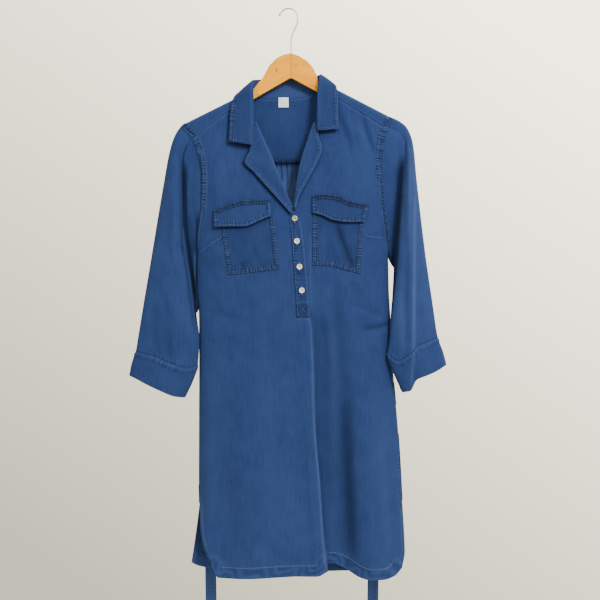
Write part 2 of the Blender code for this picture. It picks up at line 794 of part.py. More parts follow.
FRONT_SHARES = (0.0, 0.02, 0.07, 0.16, 0.28, 0.4, 0.52, 0.64, 0.76, 0.88, 1.0)
FRONT_BODY_ROWS = (
    0, 0.7, 1.4, 2, 3, 4, 5, 6, 7, 8, 8.7, 9.4, 10, 11, 11.4, 11.8, 12.1, 12.4, 12.7, 13, 13.5, 14, 15, 16,
)


def front_grid():
    """Rows of the front, each from the left edge over the centre to the right edge."""
    rows = []
    for t in FRONT_BODY_ROWS:
        left_z, left_neck_x, left_neck_z, right_neck_x, right_neck_z, right_z = read(FRONT_ROWS, t)
        left_x = read(LEFT_EDGE, left_z)[0]
        right_x = read(RIGHT_EDGE, right_z)[0]
        left = front_side_columns(-1, left_x, left_z, left_neck_x, left_neck_z, FRONT_SHARES)
        right = front_side_columns(1, right_x, right_z, right_neck_x, right_neck_z, FRONT_SHARES)
        if t < NECK_ROWS:
            middle = [None] * 5
        else:
            step = read(FOLD_STEP, left_neck_z)[0]
            amount = ease((step - PLEAT_OPENS) / PLEAT_GROWS)
            middle = pleat(left_neck_x, left_neck_z, left[-1][1], step, amount)
            if amount < 1:
                x0, x1 = left[-1][0], left[-1][0] + mix(6.0, 1.0, amount)
                flat = [mix(x0, x1, (i + 1) / 6) for i in range(5)]
                middle = [
                    (mix(f, p[0], amount), mix(front_y(f, p[2]), p[1], amount), p[2])
                    for f, p in zip(flat, middle)
                ]
                right[-1] = (x1, right[-1][1], right[-1][2])
        rows.append(left + middle + right[::-1])
    for share in SKIRT_ROWS:
        rows.append(front_skirt_row(share))
    return rows


def hem_lip(side, inward, x, y, z, share):
    """Lip point of a panel's edge below the vents' top, turning from square to the cloth to along it."""
    turn = ease((share - LIP_TURNS[0]) / (LIP_TURNS[1] - LIP_TURNS[0])) * math.pi / 2
    return (x + side * HEM_LIP * math.sin(turn), y + inward * HEM_LIP * math.cos(turn), z)


def front_skirt_row(share):
    """A row below the vents' top, level there and curved like the hem at the foot."""
    columns = []
    left_corner_z = mix(VENT_TOP, FRONT_HEM_LEFT[0][2], share)
    right_corner_z = mix(VENT_TOP, FRONT_HEM_RIGHT[-1][2], share)
    fold_z = mix(VENT_TOP, FRONT_HEM_LEFT[-1][2], share)
    left_x = read(FRONT_CORNER_LEFT, left_corner_z)[0]
    right_x = read(FRONT_CORNER_RIGHT, right_corner_z)[0]
    fold_x = read(SKIRT_CENTRE, fold_z)[0]
    columns.append(hem_lip(-1, 1, left_x, front_y(left_x, left_corner_z), left_corner_z, share))
    for s in FRONT_SHARES:
        hem_x, hem_z = read(FRONT_HEM_LEFT, s)
        straight = mix(left_x, fold_x, s)
        x = mix(straight, hem_x, share**3)
        z = mix(VENT_TOP, hem_z, share)
        columns.append((x, front_y(x, z), z))
    step = read(FOLD_STEP, fold_z)[0]
    last = columns[-1]
    columns += pleat(last[0], last[2], last[1], step, 1.0)
    right = []
    for s in FRONT_SHARES[::-1]:
        hem_x, hem_z = read(FRONT_HEM_RIGHT, 1 - s)
        straight = mix(right_x, fold_x + 1.0, s)
        x = mix(straight, hem_x, share**3)
        z = mix(VENT_TOP, hem_z, share)
        right.append((x, front_y(x, z) + fold_step(x, z), z))
    columns += right
    columns.append(hem_lip(1, 1, right_x, front_y(right_x, right_corner_z), right_corner_z, share))
    return columns


def make_front(collection):
    return sheet("front", front_grid(), CLOTH, collection)


# ---------------------------------------------------------------- back and yoke

def gather(x, t):
    """Ridges of the gathers under the back yoke, dying away downwards."""
    if not GATHER_FROM < x < GATHER_TO:
        return 0.0
    share = (x - GATHER_FROM) / (GATHER_TO - GATHER_FROM)
    return GATHER_DEPTH * math.cos(2 * math.pi * GATHERS * share) * (1 - ease(t / GATHER_FADE))


def back_columns():
    """x of the columns as shares of the width at the seam, two for each gather."""
    seam_left, seam_right = read(LEFT_EDGE, BACK_SEAM[-1])[0], read(RIGHT_EDGE, BACK_SEAM[1])[0]
    width = seam_right - seam_left
    start, stop = (GATHER_FROM - seam_left) / width, (GATHER_TO - seam_left) / width
    left = [start * s for s in SIDE_COLUMNS[:-1]]
    middle = [mix(start, stop, i / (2 * GATHERS)) for i in range(2 * GATHERS + 1)]
    right = [1 - (1 - stop) * s for s in SIDE_COLUMNS[:-1]][::-1]
    return left + middle + right, seam_left, width


def back_grid():
    shares, seam_left, seam_width = back_columns()
    rows = []
    for t in BACK_TOP_ROWS + (1.0,):
        left_z, right_z = (mix(BACK_SEAM[side], VENT_TOP, t) for side in (-1, 1))
        left_x, right_x = read(LEFT_EDGE, left_z)[0], read(RIGHT_EDGE, right_z)[0]
        row = [back_lip(-1, left_x, left_z)]
        for s in shares:
            x, z = mix(left_x, right_x, s), mix(left_z, right_z, s)
            z -= SEAM_GAP * (1 - t)
            y = back_y(x, z) + gather(seam_left + s * seam_width, t)
            row.append((x, y, z))
        row.append(back_lip(1, right_x, right_z))
        rows.append(row)
    for share in BACK_SKIRT_ROWS:
        left_z, right_z = mix(VENT_TOP, BACK_HEM[0][1], share), mix(VENT_TOP, BACK_HEM[-1][1], share)
        left_x, right_x = read(BACK_EDGE_LEFT, left_z)[0], read(BACK_EDGE_RIGHT, right_z)[0]
        row = []
        for s in shares:
            x, z = mix(left_x, right_x, s), mix(VENT_TOP, read(BACK_HEM, s)[0], share)
            row.append((x, back_y(x, z), z))
        row.insert(0, hem_lip(-1, -1, left_x, row[0][1], left_z, share))
        row.append(hem_lip(1, -1, right_x, row[-1][1], right_z, share))
        rows.append(row)
    return rows


def back_lip(side, x, z):
    turn = edge_turn(side, z)
    return (x + side * LIP * math.cos(turn), edge_y(side, z), z)


YOKE_FRONT_ROWS = (0.0, 0.4, 0.75, 0.92)
YOKE_BACK_ROWS = (0.0, 0.025, 0.07, 0.2, 0.45, 0.72, 1.0)
STRAP_SHARES = (0.0, 0.1, 0.3, 0.55, 0.8, 1.0)
NECK_SHARES = (0.06, 0.15, 0.3, 0.5, 0.7, 0.85, 0.94)
YOKE_CROWDING = 0.35   # how much closer the columns stand at the ends of the back seam


def strap_lines(side, share):
    """Forward seam point and shoulder line point at a share from the armhole to the neck."""
    edge = LEFT_EDGE if side < 0 else RIGHT_EDGE
    corner_z = YOKE_CORNER_Z[side]
    row = FRONT_ROWS[0]
    neck = (row[2], row[3]) if side < 0 else (row[4], row[5])
    corner = (read(edge, corner_z)[0], corner_z)
    seam = mix_points(corner, neck, share)
    shoulder_neck, shoulder_end = SHOULDER[side]
    shoulder = mix_points(shoulder_end, shoulder_neck, share)
    return (seam[0], seam[1] + SEAM_GAP), shoulder


def yoke_grid():
    rows = []
    for t in YOKE_FRONT_ROWS:
        row = []
        for side, shares in ((-1, STRAP_SHARES), (1, STRAP_SHARES[::-1])):
            for s in shares:
                seam, shoulder = strap_lines(side, s)
                x, z = mix_points(seam, shoulder, t)
                row.append((x, front_y(x, z), z))
            if side < 0:
                row += [None] * len(NECK_SHARES)
        rows.append(row)
    for t in YOKE_BACK_ROWS:
        row = []
        tops = [strap_lines(-1, s)[1] for s in STRAP_SHARES]
        tops += [read(NECK_CURVE, s) for s in NECK_SHARES]
        tops += [strap_lines(1, s)[1] for s in STRAP_SHARES[::-1]]
        for i, (top_x, top_z) in enumerate(tops):
            share = i / (len(tops) - 1)
            seam_left, seam_right = read(LEFT_EDGE, BACK_SEAM[-1])[0], read(RIGHT_EDGE, BACK_SEAM[1])[0]
            foot_share = mix(share, ease(share), YOKE_CROWDING)
            foot_x = mix(seam_left, seam_right, foot_share)
            foot_z = mix(BACK_SEAM[-1], BACK_SEAM[1], foot_share) + SEAM_GAP
            x, z = mix(top_x, foot_x, t), mix(top_z, foot_z, t)
            if i == 0:
                x = read(LEFT_EDGE, z)[0] if t > 0 else top_x
            if i == len(tops) - 1:
                x = read(RIGHT_EDGE, z)[0] if t > 0 else top_x
            row.append((x, back_y(x, z), z))
        rows.append(row)
    return rows


def make_back_and_yoke(collection):
    sheet("back", swapped(back_grid()), CLOTH, collection)
    sheet("yoke", yoke_grid(), CLOTH, collection)


# ---------------------------------------------------------------- collar and lapels

def collar_grid():
    rows = []
    for i in range(COLLAR_STATIONS + 1):
        values = read(COLLAR, i / COLLAR_STATIONS)
        seam, roll, edge = values[0:3], values[3:6], values[6:9]
        fall = [e - r for r, e in zip(roll, edge)]
        rise = [s - r for r, s in zip(roll, seam)]
        shared = sum(a * b for a, b in zip(fall, rise)) / sum(b * b for b in rise)
        out = [a - shared * b for a, b in zip(fall, rise)]
        length = math.sqrt(sum(c * c for c in out))
        row = []
        for stand, leaf, distance in COLLAR_SECTION:
            point = mix_points(mix_points(seam, roll, stand), edge, leaf)
            row.append(tuple(p + distance * c / length for p, c in zip(point, out)))
        rows.append(row)
    return rows


def lapel_grid(table, side, steps):
    """Rows of a lapel: round the roll, then over the chest to its outer edge."""
    rows = []
    last = table[-1][0]
    for i in range(steps + 1):
        roll_x, roll_z, outer_x, outer_z = read(table, last * i / steps)
        row = []
        for k, (share, height) in enumerate(LAPEL_SECTION):
            x, z = mix(roll_x, outer_x, share), mix(roll_z, outer_z, share)
            if k < len(LAPEL_TURN):
                x -= side * LAPEL_TURN[k]
            row.append((x, front_y(x, z) - height - CLOTH * (k > 0), z))
        rows.append(row)
    return rows


def make_collar(collection):
    sheet("collar", collar_grid(), CLOTH, collection)
    sheet("lapel_L", swapped(lapel_grid(LAPEL_LEFT, -1, 16)), CLOTH, collection)
    sheet("lapel_R", lapel_grid(LAPEL_RIGHT, 1, 12), CLOTH, collection)


# ---------------------------------------------------------------- what lies on the front

def laid_grid(upper, lower, columns, heights):
    """Grid between two edges, at given heights over the front."""
    grid = []
    for share, height in heights:
        row = []
        for i in range(columns + 1):
            t = i / columns
            x, z = mix_points(along(upper, t), along(lower, t), share)
            row.append((x, front_y(x, z) - height, z))
        grid.append(row)
    return grid


def make_pockets(collection):
    for name, upper, lower in POCKETS:
        heights = [(i / 6, POCKET_LIFT) for i in range(7)]
        sheet(name, laid_grid(upper, lower, 7, heights), CLOTH, collection)
    for name, upper, lower in FLAPS:
        heights = [(i / 4, read(FLAP_RISE, i / 4)[0]) for i in range(5)]
        sheet(name, laid_grid(upper, lower, 10, heights), CLOTH, collection)


def make_placket(collection):
    grid = []
    steps = 15
    lift = FOLDED_CLOTH + LAY_GAP
    for i in range(steps + 1):
        left_x, left_z, right_x, right_z = read(PLACKET, PLACKET[-1][0] * i / steps)
        row = []
        for k in range(4):
            x, z = mix(left_x, right_x, k / 3), mix(left_z, right_z, k / 3)
            row.append((x, front_y(x, z) - lift, z))
        grid.append(row)
    sheet("placket", grid, FOLDED_CLOTH, collection)


def make_button(name, x, z, collection):
    """Round button with a raised rim, its axis across the cloth."""
    radius = BUTTON_WIDE / 2
    profile = (
        # radius, height over the button's back
        (0.0, 0.0),
        (radius * 0.8, 0.0),
        (radius, BUTTON_THICK * 0.4),
        (radius * 0.97, BUTTON_THICK * 0.8),
        (radius * 0.85, BUTTON_THICK),
        (radius * 0.7, BUTTON_THICK * 0.75),
        (0.0, BUTTON_THICK * 0.65),
    )
    bm = bmesh.new()
    previous = None
    for r, height in profile:
        vertex = bm.verts.new((r * MM, 0.0, -height * MM))
        if previous:
            bm.edges.new((previous, vertex))
        previous = vertex
    mesh = bpy.data.meshes.new(name)
    bm.to_mesh(mesh)
    bm.free()
    obj = add_object(name, mesh, "pearl", collection)
    screw = obj.modifiers.new("turn", "SCREW")
    screw.steps = 16
    screw.render_steps = 16
    screw.use_merge_vertices = True
    screw.merge_threshold = 0.00001
    screw.use_smooth_shade = True
    screw.use_normal_calculate = True
    lift = FOLDED_CLOTH + LAY_GAP + BUTTON_LIFT
    obj.location = (x * MM, (front_y(x, z) - lift) * MM, z * MM)
    obj.rotation_euler = (-math.pi / 2, 0.0, 0.0)


# ---------------------------------------------------------------- sleeves and cuffs

def armhole_point(side, t, behind):
    """Point of an armhole's edge at share t from the shoulder's end to the underarm, moved off it."""
    edge = LEFT_EDGE if side < 0 else RIGHT_EDGE
    z = mix(edge[0][0], UNDERARM_Z[side], t)
    x, half = read(edge, z)
    half *= shoulder_wrap(x, z)
    x += side * (LIP + ARMHOLE_GAP)
    sign = 1 if behind else -1
    close = ease((UNDERARM_Z[side] + 30.0 - z) / 30.0)
    half = mix(half, 0.0, close * ease((t - 0.96) / 0.04))
    return (x, sign * half, z)


def coons(top, bottom, left, right, v, s):
    """Point of a patch between four lines, v from top to bottom and s from left to right."""
    a = mix_points(top(s), bottom(s), v)
    b = mix_points(left(v), right(v), s)
    c = mix_points(mix_points(top(0), top(1), s), mix_points(bottom(0), bottom(1), s), v)
    return tuple(p + q - r for p, q, r in zip(a, b, c))


def pinned(rows, start, t):
    """Line through a table's rows whose beginning is moved to a start point."""
    point = read(rows, t)
    fade = (1 - t) ** 6
    return tuple(p + (a - b) * fade for p, a, b in zip(point, start, rows[0][1:]))


def sleeve_ring(name, v):
    """Closed ring of a sleeve at share v from the armhole to the cuff seam."""
    data = SLEEVES[name]
    side = data["side"]
    cuff = CUFFS["cuff" + name[-2:]]
    corner = (YOKE_CORNER_Z[side] - (LEFT_EDGE if side < 0 else RIGHT_EDGE)[0][0])
    corner /= UNDERARM_Z[side] - (LEFT_EDGE if side < 0 else RIGHT_EDGE)[0][0]
    fold_share = cuff_share_at_fold(name)
    bulge_front, bulge_back, valley = read(SLEEVE_DEPTH, v)
    starts = {
        "outer": armhole_point(side, 0.0, False),
        "fold": armhole_point(side, corner, False),
        "inner": armhole_point(side, 1.0, False),
    }

    def outer(t):
        return pinned(data["outer"], starts["outer"], t)

    def fold(t):
        return pinned(data["fold"], starts["fold"], t)

    def inner(t):
        return pinned(data["inner"], starts["inner"], t)

    def cuff_point(share):
        x, z = read(cuff["seam"], share)
        y = mix(data["outer"][-1][2], data["inner"][-1][2], share)
        return (x, y, z)

    ring = []
    for s in spread(SLEEVE_FRONT)[:-1]:
        point = coons(
            lambda q: armhole_point(side, corner * q, False),
            lambda q: cuff_point(fold_share * q),
            outer, fold, v, s,
        )
        lift = bulge_front * math.sin(math.pi * min(s, 1)) ** 0.7 if 0 < s < 1 else 0.0
        if side > 0:
            lift += SLEEVE_RIDGE * ease(v / 0.4) * math.exp(-((s - 0.55) / 0.16) ** 2)
        ring.append((point[0], point[1] - lift, point[2]))
    ring.append(fold(v))
    valley *= min(abs(fold(v)[0] - inner(v)[0]) / VALLEY_WIDTH, 1.0)
    for i in range(1, SLEEVE_UNDER + 1):
        s = (i / SLEEVE_UNDER) ** 1.15
        point = coons(
            lambda q: armhole_point(side, mix(corner, 1.0, q), False),
            lambda q: cuff_point(mix(fold_share, 1.0, q)),
            fold, inner, v, s,
        )
        sink = valley * math.exp(-((s - 0.08) / 0.3) ** 2) * ease(s / 0.08)
        ring.append((point[0], point[1] + sink * (s < 1), point[2]))
    for s in spread(SLEEVE_BACK)[1:-1]:
        point = coons(
            lambda q: armhole_point(side, 1 - q, True),
            lambda q: cuff_point(1 - q),
            inner, outer, v, s,
        )
        lift = bulge_back * math.sin(math.pi * s) ** 0.7
        ring.append((point[0], point[1] + lift, point[2]))
    return ring


def cuff_share_at_fold(name):
    return 0.97 if name == "sleeve_L" else 0.96


def make_sleeves(collection):
    for name, data in SLEEVES.items():
        rings = [sleeve_ring(name, (i / SLEEVE_ROWS) ** 1.15) for i in range(SLEEVE_ROWS + 1)]
        if data["side"] > 0:
            rings = swapped(rings)
        sheet(name, swapped(rings), CLOTH, collection, closed=True)


def make_cuffs(collection):
    for name, data in CUFFS.items():
        sleeve = data["sleeve"]
        seam_ring = sleeve_ring(sleeve, 1.0)
        above = sleeve_ring(sleeve, 0.97)
        side = SLEEVES[sleeve]["side"]
        middle, deep_front, deep_back = data["middle"]
        front_count = SLEEVE_FRONT + SLEEVE_UNDER
        shares = [cuff_share(sleeve, i) for i in range(front_count + 1)]
        shares += [1 - s for s in spread(SLEEVE_BACK)[1:-1]]
        rings = []
        for row in range(CUFF_ROWS + 1):
            t = row / CUFF_ROWS
            ring = []
            for i, (share, start) in enumerate(zip(shares, seam_ring)):
                x, z = read(data["edge"], share)
                arch = max(4 * share * (1 - share), 0.0) ** 0.5
                y = middle - deep_front * arch if i <= front_count else middle + deep_back * arch
                start = tuple(p + (p - q) * CUFF_STEP for p, q in zip(start, above[i]))
                ring.append(mix_points(start, (x, y, z), t))
            rings.append(ring)
        if side > 0:
            rings = swapped(rings)
        sheet(name, swapped(rings), FOLDED_CLOTH, collection, closed=True)


def cuff_share(sleeve, i):
    """Share across the cuff at column i of the ring's front."""
    fold_share = cuff_share_at_fold(sleeve)
    if i <= SLEEVE_FRONT:
        return fold_share * spread(SLEEVE_FRONT)[i]
    return mix(fold_share, 1.0, ((i - SLEEVE_FRONT) / SLEEVE_UNDER) ** 1.15)


# ---------------------------------------------------------------- ties and label

def make_ties(collection):
    for name, (waist_x, end_x, waist_z, end_z) in TIES.items():
        steps = 16
        grid = []
        for i in range(steps + 1):
            t = i / steps
            x, z = mix(waist_x, end_x, t), mix(waist_z, end_z, t)
            lain_z = max(z, TIE_LEAVES)
            y = max(back_y(x + dx, lain_z) for dx in (-TIE_WIDE / 2, 0.0, TIE_WIDE / 2))
            y += TIE_LIFT + TIE_THICK - TIE_RETURN * ease((TIE_LEAVES - z) / TIE_RETURN_LENGTH)
            grid.append([(x + side * TIE_WIDE / 2, y, z) for side in (1, 0, -1)])
        sheet(name, grid, TIE_THICK, collection)


def make_label(collection):
    (left, top), (right, bottom) = LABEL
    grid = []
    for z in (top, (top + bottom) / 2, bottom):
        row = [(x, back_y(x, z) - CLOTH - LABEL_LIFT, z) for x in (left, (left + right) / 2, right)]
        grid.append(row)
    sheet("neck_label", grid, LABEL_CLOTH, collection, kind="label")


# ---------------------------------------------------------------- hanger

def outline_mesh(name, points, thick, bevel, collection, kind):
    """Flat piece of a given thickness with rounded edges, from its outline in x and z."""
    curve = bpy.data.curves.new(name, "CURVE")
    curve.dimensions = "2D"
    curve.fill_mode = "BOTH"
    curve.extrude = (thick / 2 - bevel) * MM
    curve.bevel_depth = bevel * MM
    curve.bevel_resolution = 1
    spline = curve.splines.new("POLY")
    spline.points.add(len(points) - 1)
    for point, (x, z) in zip(spline.points, points):
        point.co = (x * MM, z * MM, 0.0, 1.0)
    spline.use_cyclic_u = True
    guide = bpy.data.objects.new(name + "_outline", curve)
    collection.objects.link(guide)
    guide.rotation_euler = (math.pi / 2, 0.0, 0.0)
    bpy.context.view_layer.update()
    evaluated = guide.evaluated_get(bpy.context.evaluated_depsgraph_get())
    mesh = bpy.data.meshes.new_from_object(evaluated)
    obj = add_object(name, mesh, kind, collection)
    obj.matrix_world = guide.matrix_world
    bpy.data.objects.remove(guide)
    bm = bmesh.new()
    bm.from_mesh(mesh)
    bmesh.ops.remove_doubles(bm, verts=bm.verts, dist=0.00001)
    bm.to_mesh(mesh)
    bm.free()
    return obj


def make_hanger(collection, cutters):
    bpy.ops.mesh.primitive_cylinder_add(
        vertices=16, radius=(HOOK_WIRE / 2 + 0.3) * MM, depth=60 * MM,
        location=(HOOK_ROUTE[0][0] * MM, 0.0, (HOOK_ROUTE[0][1] - 1.0 + 30.0) * MM),
    )
    hole = bpy.context.object
    hole.name = "hook_hole"
    hole.hide_render = True
    hole.display_type = "WIRE"
    for other in hole.users_collection:
        other.objects.unlink(hole)
    cutters.objects.link(hole)
    for name, side in (("hanger_L", -1), ("hanger_R", 1)):
        top = [(x, z - WOOD_ROUND) for x, z in HANGER_TOP if (x - HANGER_JOINT) * side > 0]
        under = [(x, z + WOOD_ROUND) for x, z in HANGER_UNDER if (x - HANGER_JOINT) * side > 0]
        joint_x = HANGER_JOINT + side * (JOINT_GAP / 2 + WOOD_ROUND)
        joint = [(joint_x, JOINT_TOP - WOOD_ROUND), (joint_x, JOINT_UNDER + WOOD_ROUND)]
        points = top + joint + under if side < 0 else joint[::-1] + top + under
        half = outline_mesh(name, points, HANGER_THICK, WOOD_ROUND, collection, "wood")
        cut = half.modifiers.new("hook hole", "BOOLEAN")
        cut.operation = "DIFFERENCE"
        cut.object = hole


def make_hook(collection):
    curve = bpy.data.curves.new("hanger_hook", "CURVE")
    curve.dimensions = "3D"
    curve.bevel_depth = HOOK_WIRE / 2 * MM
    curve.bevel_resolution = 2
    curve.use_fill_caps = True
    spline = curve.splines.new("POLY")
    count = 44
    path = [along(HOOK_ROUTE, i / count) for i in range(count + 1)]
    spline.points.add(count)
    tip_points = 4
    for i, (x, z) in enumerate(path):
        spline.points[i].co = (x * MM, 0.0, z * MM, 1.0)
        from_end = count - i
        if from_end < tip_points:
            swell = math.sin(math.pi * (from_end + 0.6) / (tip_points + 0.6))
            spline.points[i].radius = 0.6 + (HOOK_TIP / HOOK_WIRE - 0.6) * swell
    add_object("hanger_hook", curve, "steel", collection)


def main():
    for obj in list(bpy.data.objects):
        bpy.data.objects.remove(obj)
    collection = bpy.data.collections.new("shirt_dress")
    cutters = bpy.data.collections.new("cutters")
    bpy.context.scene.collection.children.link(collection)
    bpy.context.scene.collection.children.link(cutters)
    make_front(collection)
    make_back_and_yoke(collection)
    make_collar(collection)
    make_pockets(collection)
    make_placket(collection)
    for i, (x, z) in enumerate(BUTTONS):
        make_button("button_" + str(i + 1), x, z, collection)
    make_sleeves(collection)
    make_cuffs(collection)
    make_ties(collection)
    make_label(collection)
    make_hanger(collection, cutters)
    make_hook(collection)


main()
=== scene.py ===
"""Looks for the shirt dress: soft washed chambray with puckered seams, sewing, pearl buttons, a varnished
hanger and its wire hook. Sizes are in millimetres and MM turns them into metres."""

import math

import bmesh
import bpy
import numpy as np
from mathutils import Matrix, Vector
from mathutils.bvhtree import BVHTree


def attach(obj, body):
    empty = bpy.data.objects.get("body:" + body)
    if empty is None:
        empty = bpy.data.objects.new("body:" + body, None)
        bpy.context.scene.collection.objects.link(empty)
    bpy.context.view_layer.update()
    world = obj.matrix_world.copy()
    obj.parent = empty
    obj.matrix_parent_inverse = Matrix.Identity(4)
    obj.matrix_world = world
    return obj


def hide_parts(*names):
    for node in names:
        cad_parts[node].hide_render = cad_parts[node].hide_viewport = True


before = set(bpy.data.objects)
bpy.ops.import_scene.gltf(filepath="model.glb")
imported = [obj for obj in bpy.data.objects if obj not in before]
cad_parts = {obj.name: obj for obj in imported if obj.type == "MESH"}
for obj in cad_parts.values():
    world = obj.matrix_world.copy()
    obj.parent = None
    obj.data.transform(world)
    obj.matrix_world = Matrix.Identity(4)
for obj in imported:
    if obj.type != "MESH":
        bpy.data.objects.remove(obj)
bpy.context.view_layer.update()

MM = 0.001

# Driving sizes
CLOTH = 1.2            # wall of the dress cloth
SEAM_GAP = 0.5         # between two pieces that meet edge to edge
LIP = 1.3              # strip that turns the panels' edges square to their seams
SHOULDER_WRAP = 8.0    # drop below the shoulder line over which the cloth rounds the hanger's arm
HANGER_THICK = 11.0    # the hanger's wood, front to back
HANGER_JOINT = 4.6     # x of the joint between the hanger's halves
JOINT_TOP = -89.0      # z of the joint's upper and lower ends
JOINT_UNDER = -139.0
BUTTON_WIDE = 11.5
TIE_WIDE = 23.0
TIE_THICK = 1.6
VENT_TOP = -993.0      # where both side seams end and the vents open

# The left side edge: armhole from the shoulder's end to the underarm, then the side seam
LEFT_EDGE = (
    # z, x, half depth of the opening or seam there
    (-232, -211, 9.2), (-239, -205, 9.4), (-247, -196.5, 9.8), (-257, -187, 10.5), (-275, -180.5, 12),
    (-293, -175.6, 13.5), (-330, -170.8, 15), (-360, -170.8, 15), (-397, -173, 13.5), (-422, -177, 11),
    (-455, -181.5, 6.5), (-475, -183, 2.8), (-483, -183.5, 1.6), (-561, -184.5, 1.6), (-611, -179.5, 1.6),
    (-663, -179, 1.6), (-823, -179.5, 1.6), (-943, -179.8, 1.6), (-993, -178.5, 1.6), (-1043, -183, 5),
    (-1140, -190, 9),
)
RIGHT_EDGE = (
    # z, x, half depth
    (-217, 203.5, 9.2), (-225, 199, 9.4), (-231, 196, 9.8), (-238, 192.5, 10.5), (-253, 185, 12),
    (-275, 181.5, 13), (-297, 180, 13.5), (-333, 183, 15), (-388, 187, 14), (-432, 193.6, 11),
    (-463, 197, 7.5), (-487, 199, 3), (-499, 199.6, 1.6), (-561, 201, 1.6), (-615, 204, 1.6),
    (-735, 210.4, 1.6), (-823, 218, 1.6), (-883, 222.4, 1.6), (-993, 228.5, 1.6), (-1043, 232, 5),
    (-1140, 235, 9),
)
EDGES = {-1: LEFT_EDGE, 1: RIGHT_EDGE}
UNDERARM_Z = {-1: -483.0, 1: -499.0}
YOKE_CORNER_Z = {-1: -257.0, 1: -238.0}

# How deep the dress hangs before and behind the hanger's plane
DEPTH = (
    # z, front, back, power of the rounding towards the sides
    (-140, 9, 9, 1), (-200, 12, 11, 1), (-257, 18, 15, 1), (-330, 25, 20, 1), (-430, 31, 25, 1),
    (-500, 34, 27, 0.5), (-650, 35, 28, 0.5), (-850, 39, 31, 0.5), (-1000, 42, 33, 0.5),
    (-1145, 45, 35, 0.5),
)
ROUNDING = 2.5         # how flat the middle of the cross-section is

# The shoulder lines, which the cloth bends over: x and z at the neck and at the shoulder's end
SHOULDER = {
    -1: ((-76, -164.6), (-211, -232)),
    1: ((62, -144), (203.5, -217)),
}

# Long soft folds: positive depth is a trough seen from outside, negative a ridge
FRONT_FOLDS = (
    # top x, top z, bottom x, bottom z, half width, depth at top, depth at bottom
    (148, -226, 174, -298, 8, 1.8, 2.8), (103, -220, 122, -292, 8, 1.5, 2.2),
    (-108, -245, -122, -360, 11, 1.5, 1), (104, -690, 114, -1150, 24, 2, 17),
    (158, -700, 178, -1150, 26, -2, -7), (-120, -640, -128, -1150, 24, 1, 5),
    (-60, -660, -66, -1150, 28, -1, -4), (8, -640, 14, -1150, 20, 1, 3.5), (118, -590, 178, -612, 8, 1, 3),
)
BACK_FOLDS = (
    # top x, top z, bottom x, bottom z, half width, depth at top, depth at bottom
    (-118, -420, -134, -1150, 20, 2, 8), (-58, -470, -70, -1150, 18, 2, 7), (4, -450, 8, -1150, 22, 1.5, 8),
    (70, -480, 84, -1150, 18, 2, 6), (132, -430, 158, -1150, 22, 2, 9),
)
FOLD_STEP = (
    # z, how far the right side lies behind the left at the fold under the placket
    (-622, 0), (-668, 5.5), (-740, 8), (-900, 10.5), (-1140, 12.5),
)
FOLD_REACH = 70.0      # width over which the right side comes forward again

# Rows of the front: the left chest's edge and neck edge, then the right chest's neck edge and edge
FRONT_ROWS = (
    # row, left z, left neck x, left neck z, right neck x, right neck z, right z
    (0, -257, -76, -172.5, 62, -156.8, -238), (1, -276, -72.5, -198, 58, -186, -258),
    (2, -296, -69.8, -219, 54.5, -219, -280), (3, -330, -52, -258, 41.5, -258, -316),
    (4, -362, -34.6, -295.4, 28.6, -297, -350), (5, -396, -18.6, -338, 19, -340, -388),
    (6, -425, -4.5, -371, 14, -372, -424), (7, -456, 9, -403.5, 10.4, -403.5, -462),
    (8, -484, 14, -437, 15, -437, -500), (9, -530, 21, -500, 22, -500, -532),
    (10, -590, 30, -578, 31, -578, -590), (11, -640, 44, -636, 45, -636, -640),
    (12, -700, 47.5, -700, 48.5, -700, -700), (13, -780, 49.3, -780, 50.3, -780, -780),
    (14, -860, 53.5, -860, 54.5, -860, -860), (15, -930, 59.5, -930, 60.5, -930, -930),
    (16, -993, 64, -993, 65, -993, -993),
)
NECK_ROWS = 7          # rows above the bottom of the neck's V, where the chests are apart
SKIRT_CENTRE = (
    # z, x of the fold
    (-993, 64), (-1051, 67.8), (-1081, 71), (-1125, 76),
)
FRONT_HEM_LEFT = (
    # share from the side to the fold, x, z
    (0, -152, -1112), (0.04, -147.5, -1126), (0.1, -138, -1135), (0.3, -100, -1136), (0.75, 23, -1130.5),
    (0.93, 58, -1130.5), (1, 75.5, -1122),
)
FRONT_HEM_RIGHT = (
    # share from the fold to the side, x, z
    (0, 76.5, -1106), (0.1, 90, -1107), (0.22, 106, -1114), (0.36, 125, -1125), (0.5, 142, -1134),
    (0.65, 164, -1138.6), (0.82, 189, -1138), (0.93, 211, -1132), (1, 226.5, -1117),
)
FRONT_CORNER_LEFT = ((-993.0, -178.5), (-1043.0, -175.6), (-1080.0, -168.0), (-1112.0, -152.0))
FRONT_CORNER_RIGHT = ((-993.0, 228.5), (-1050.0, 231.5), (-1085.0, 232.8), (-1117.0, 226.5))
PLEAT_UNDER = 14.6     # how far the fold under the placket doubles back at the hem
PLEAT_OPENS = 7.0      # step behind the fold from which it doubles back
PLEAT_GROWS = 4.2      # added step over which it does so
PLEAT = (
    # share of the way back under, x past it where the fold is shut and added where it is open,
    # share of the step behind, rise
    (0, 1.8, 0.3, 0.22, 0), (0, 1, 1.2, 0.56, 0.4), (1, 0, 6.3, 0.66, 3), (1, -0.8, 9.2, 0.76, 4),
    (1, 0, 11.2, 0.86, 5),
)

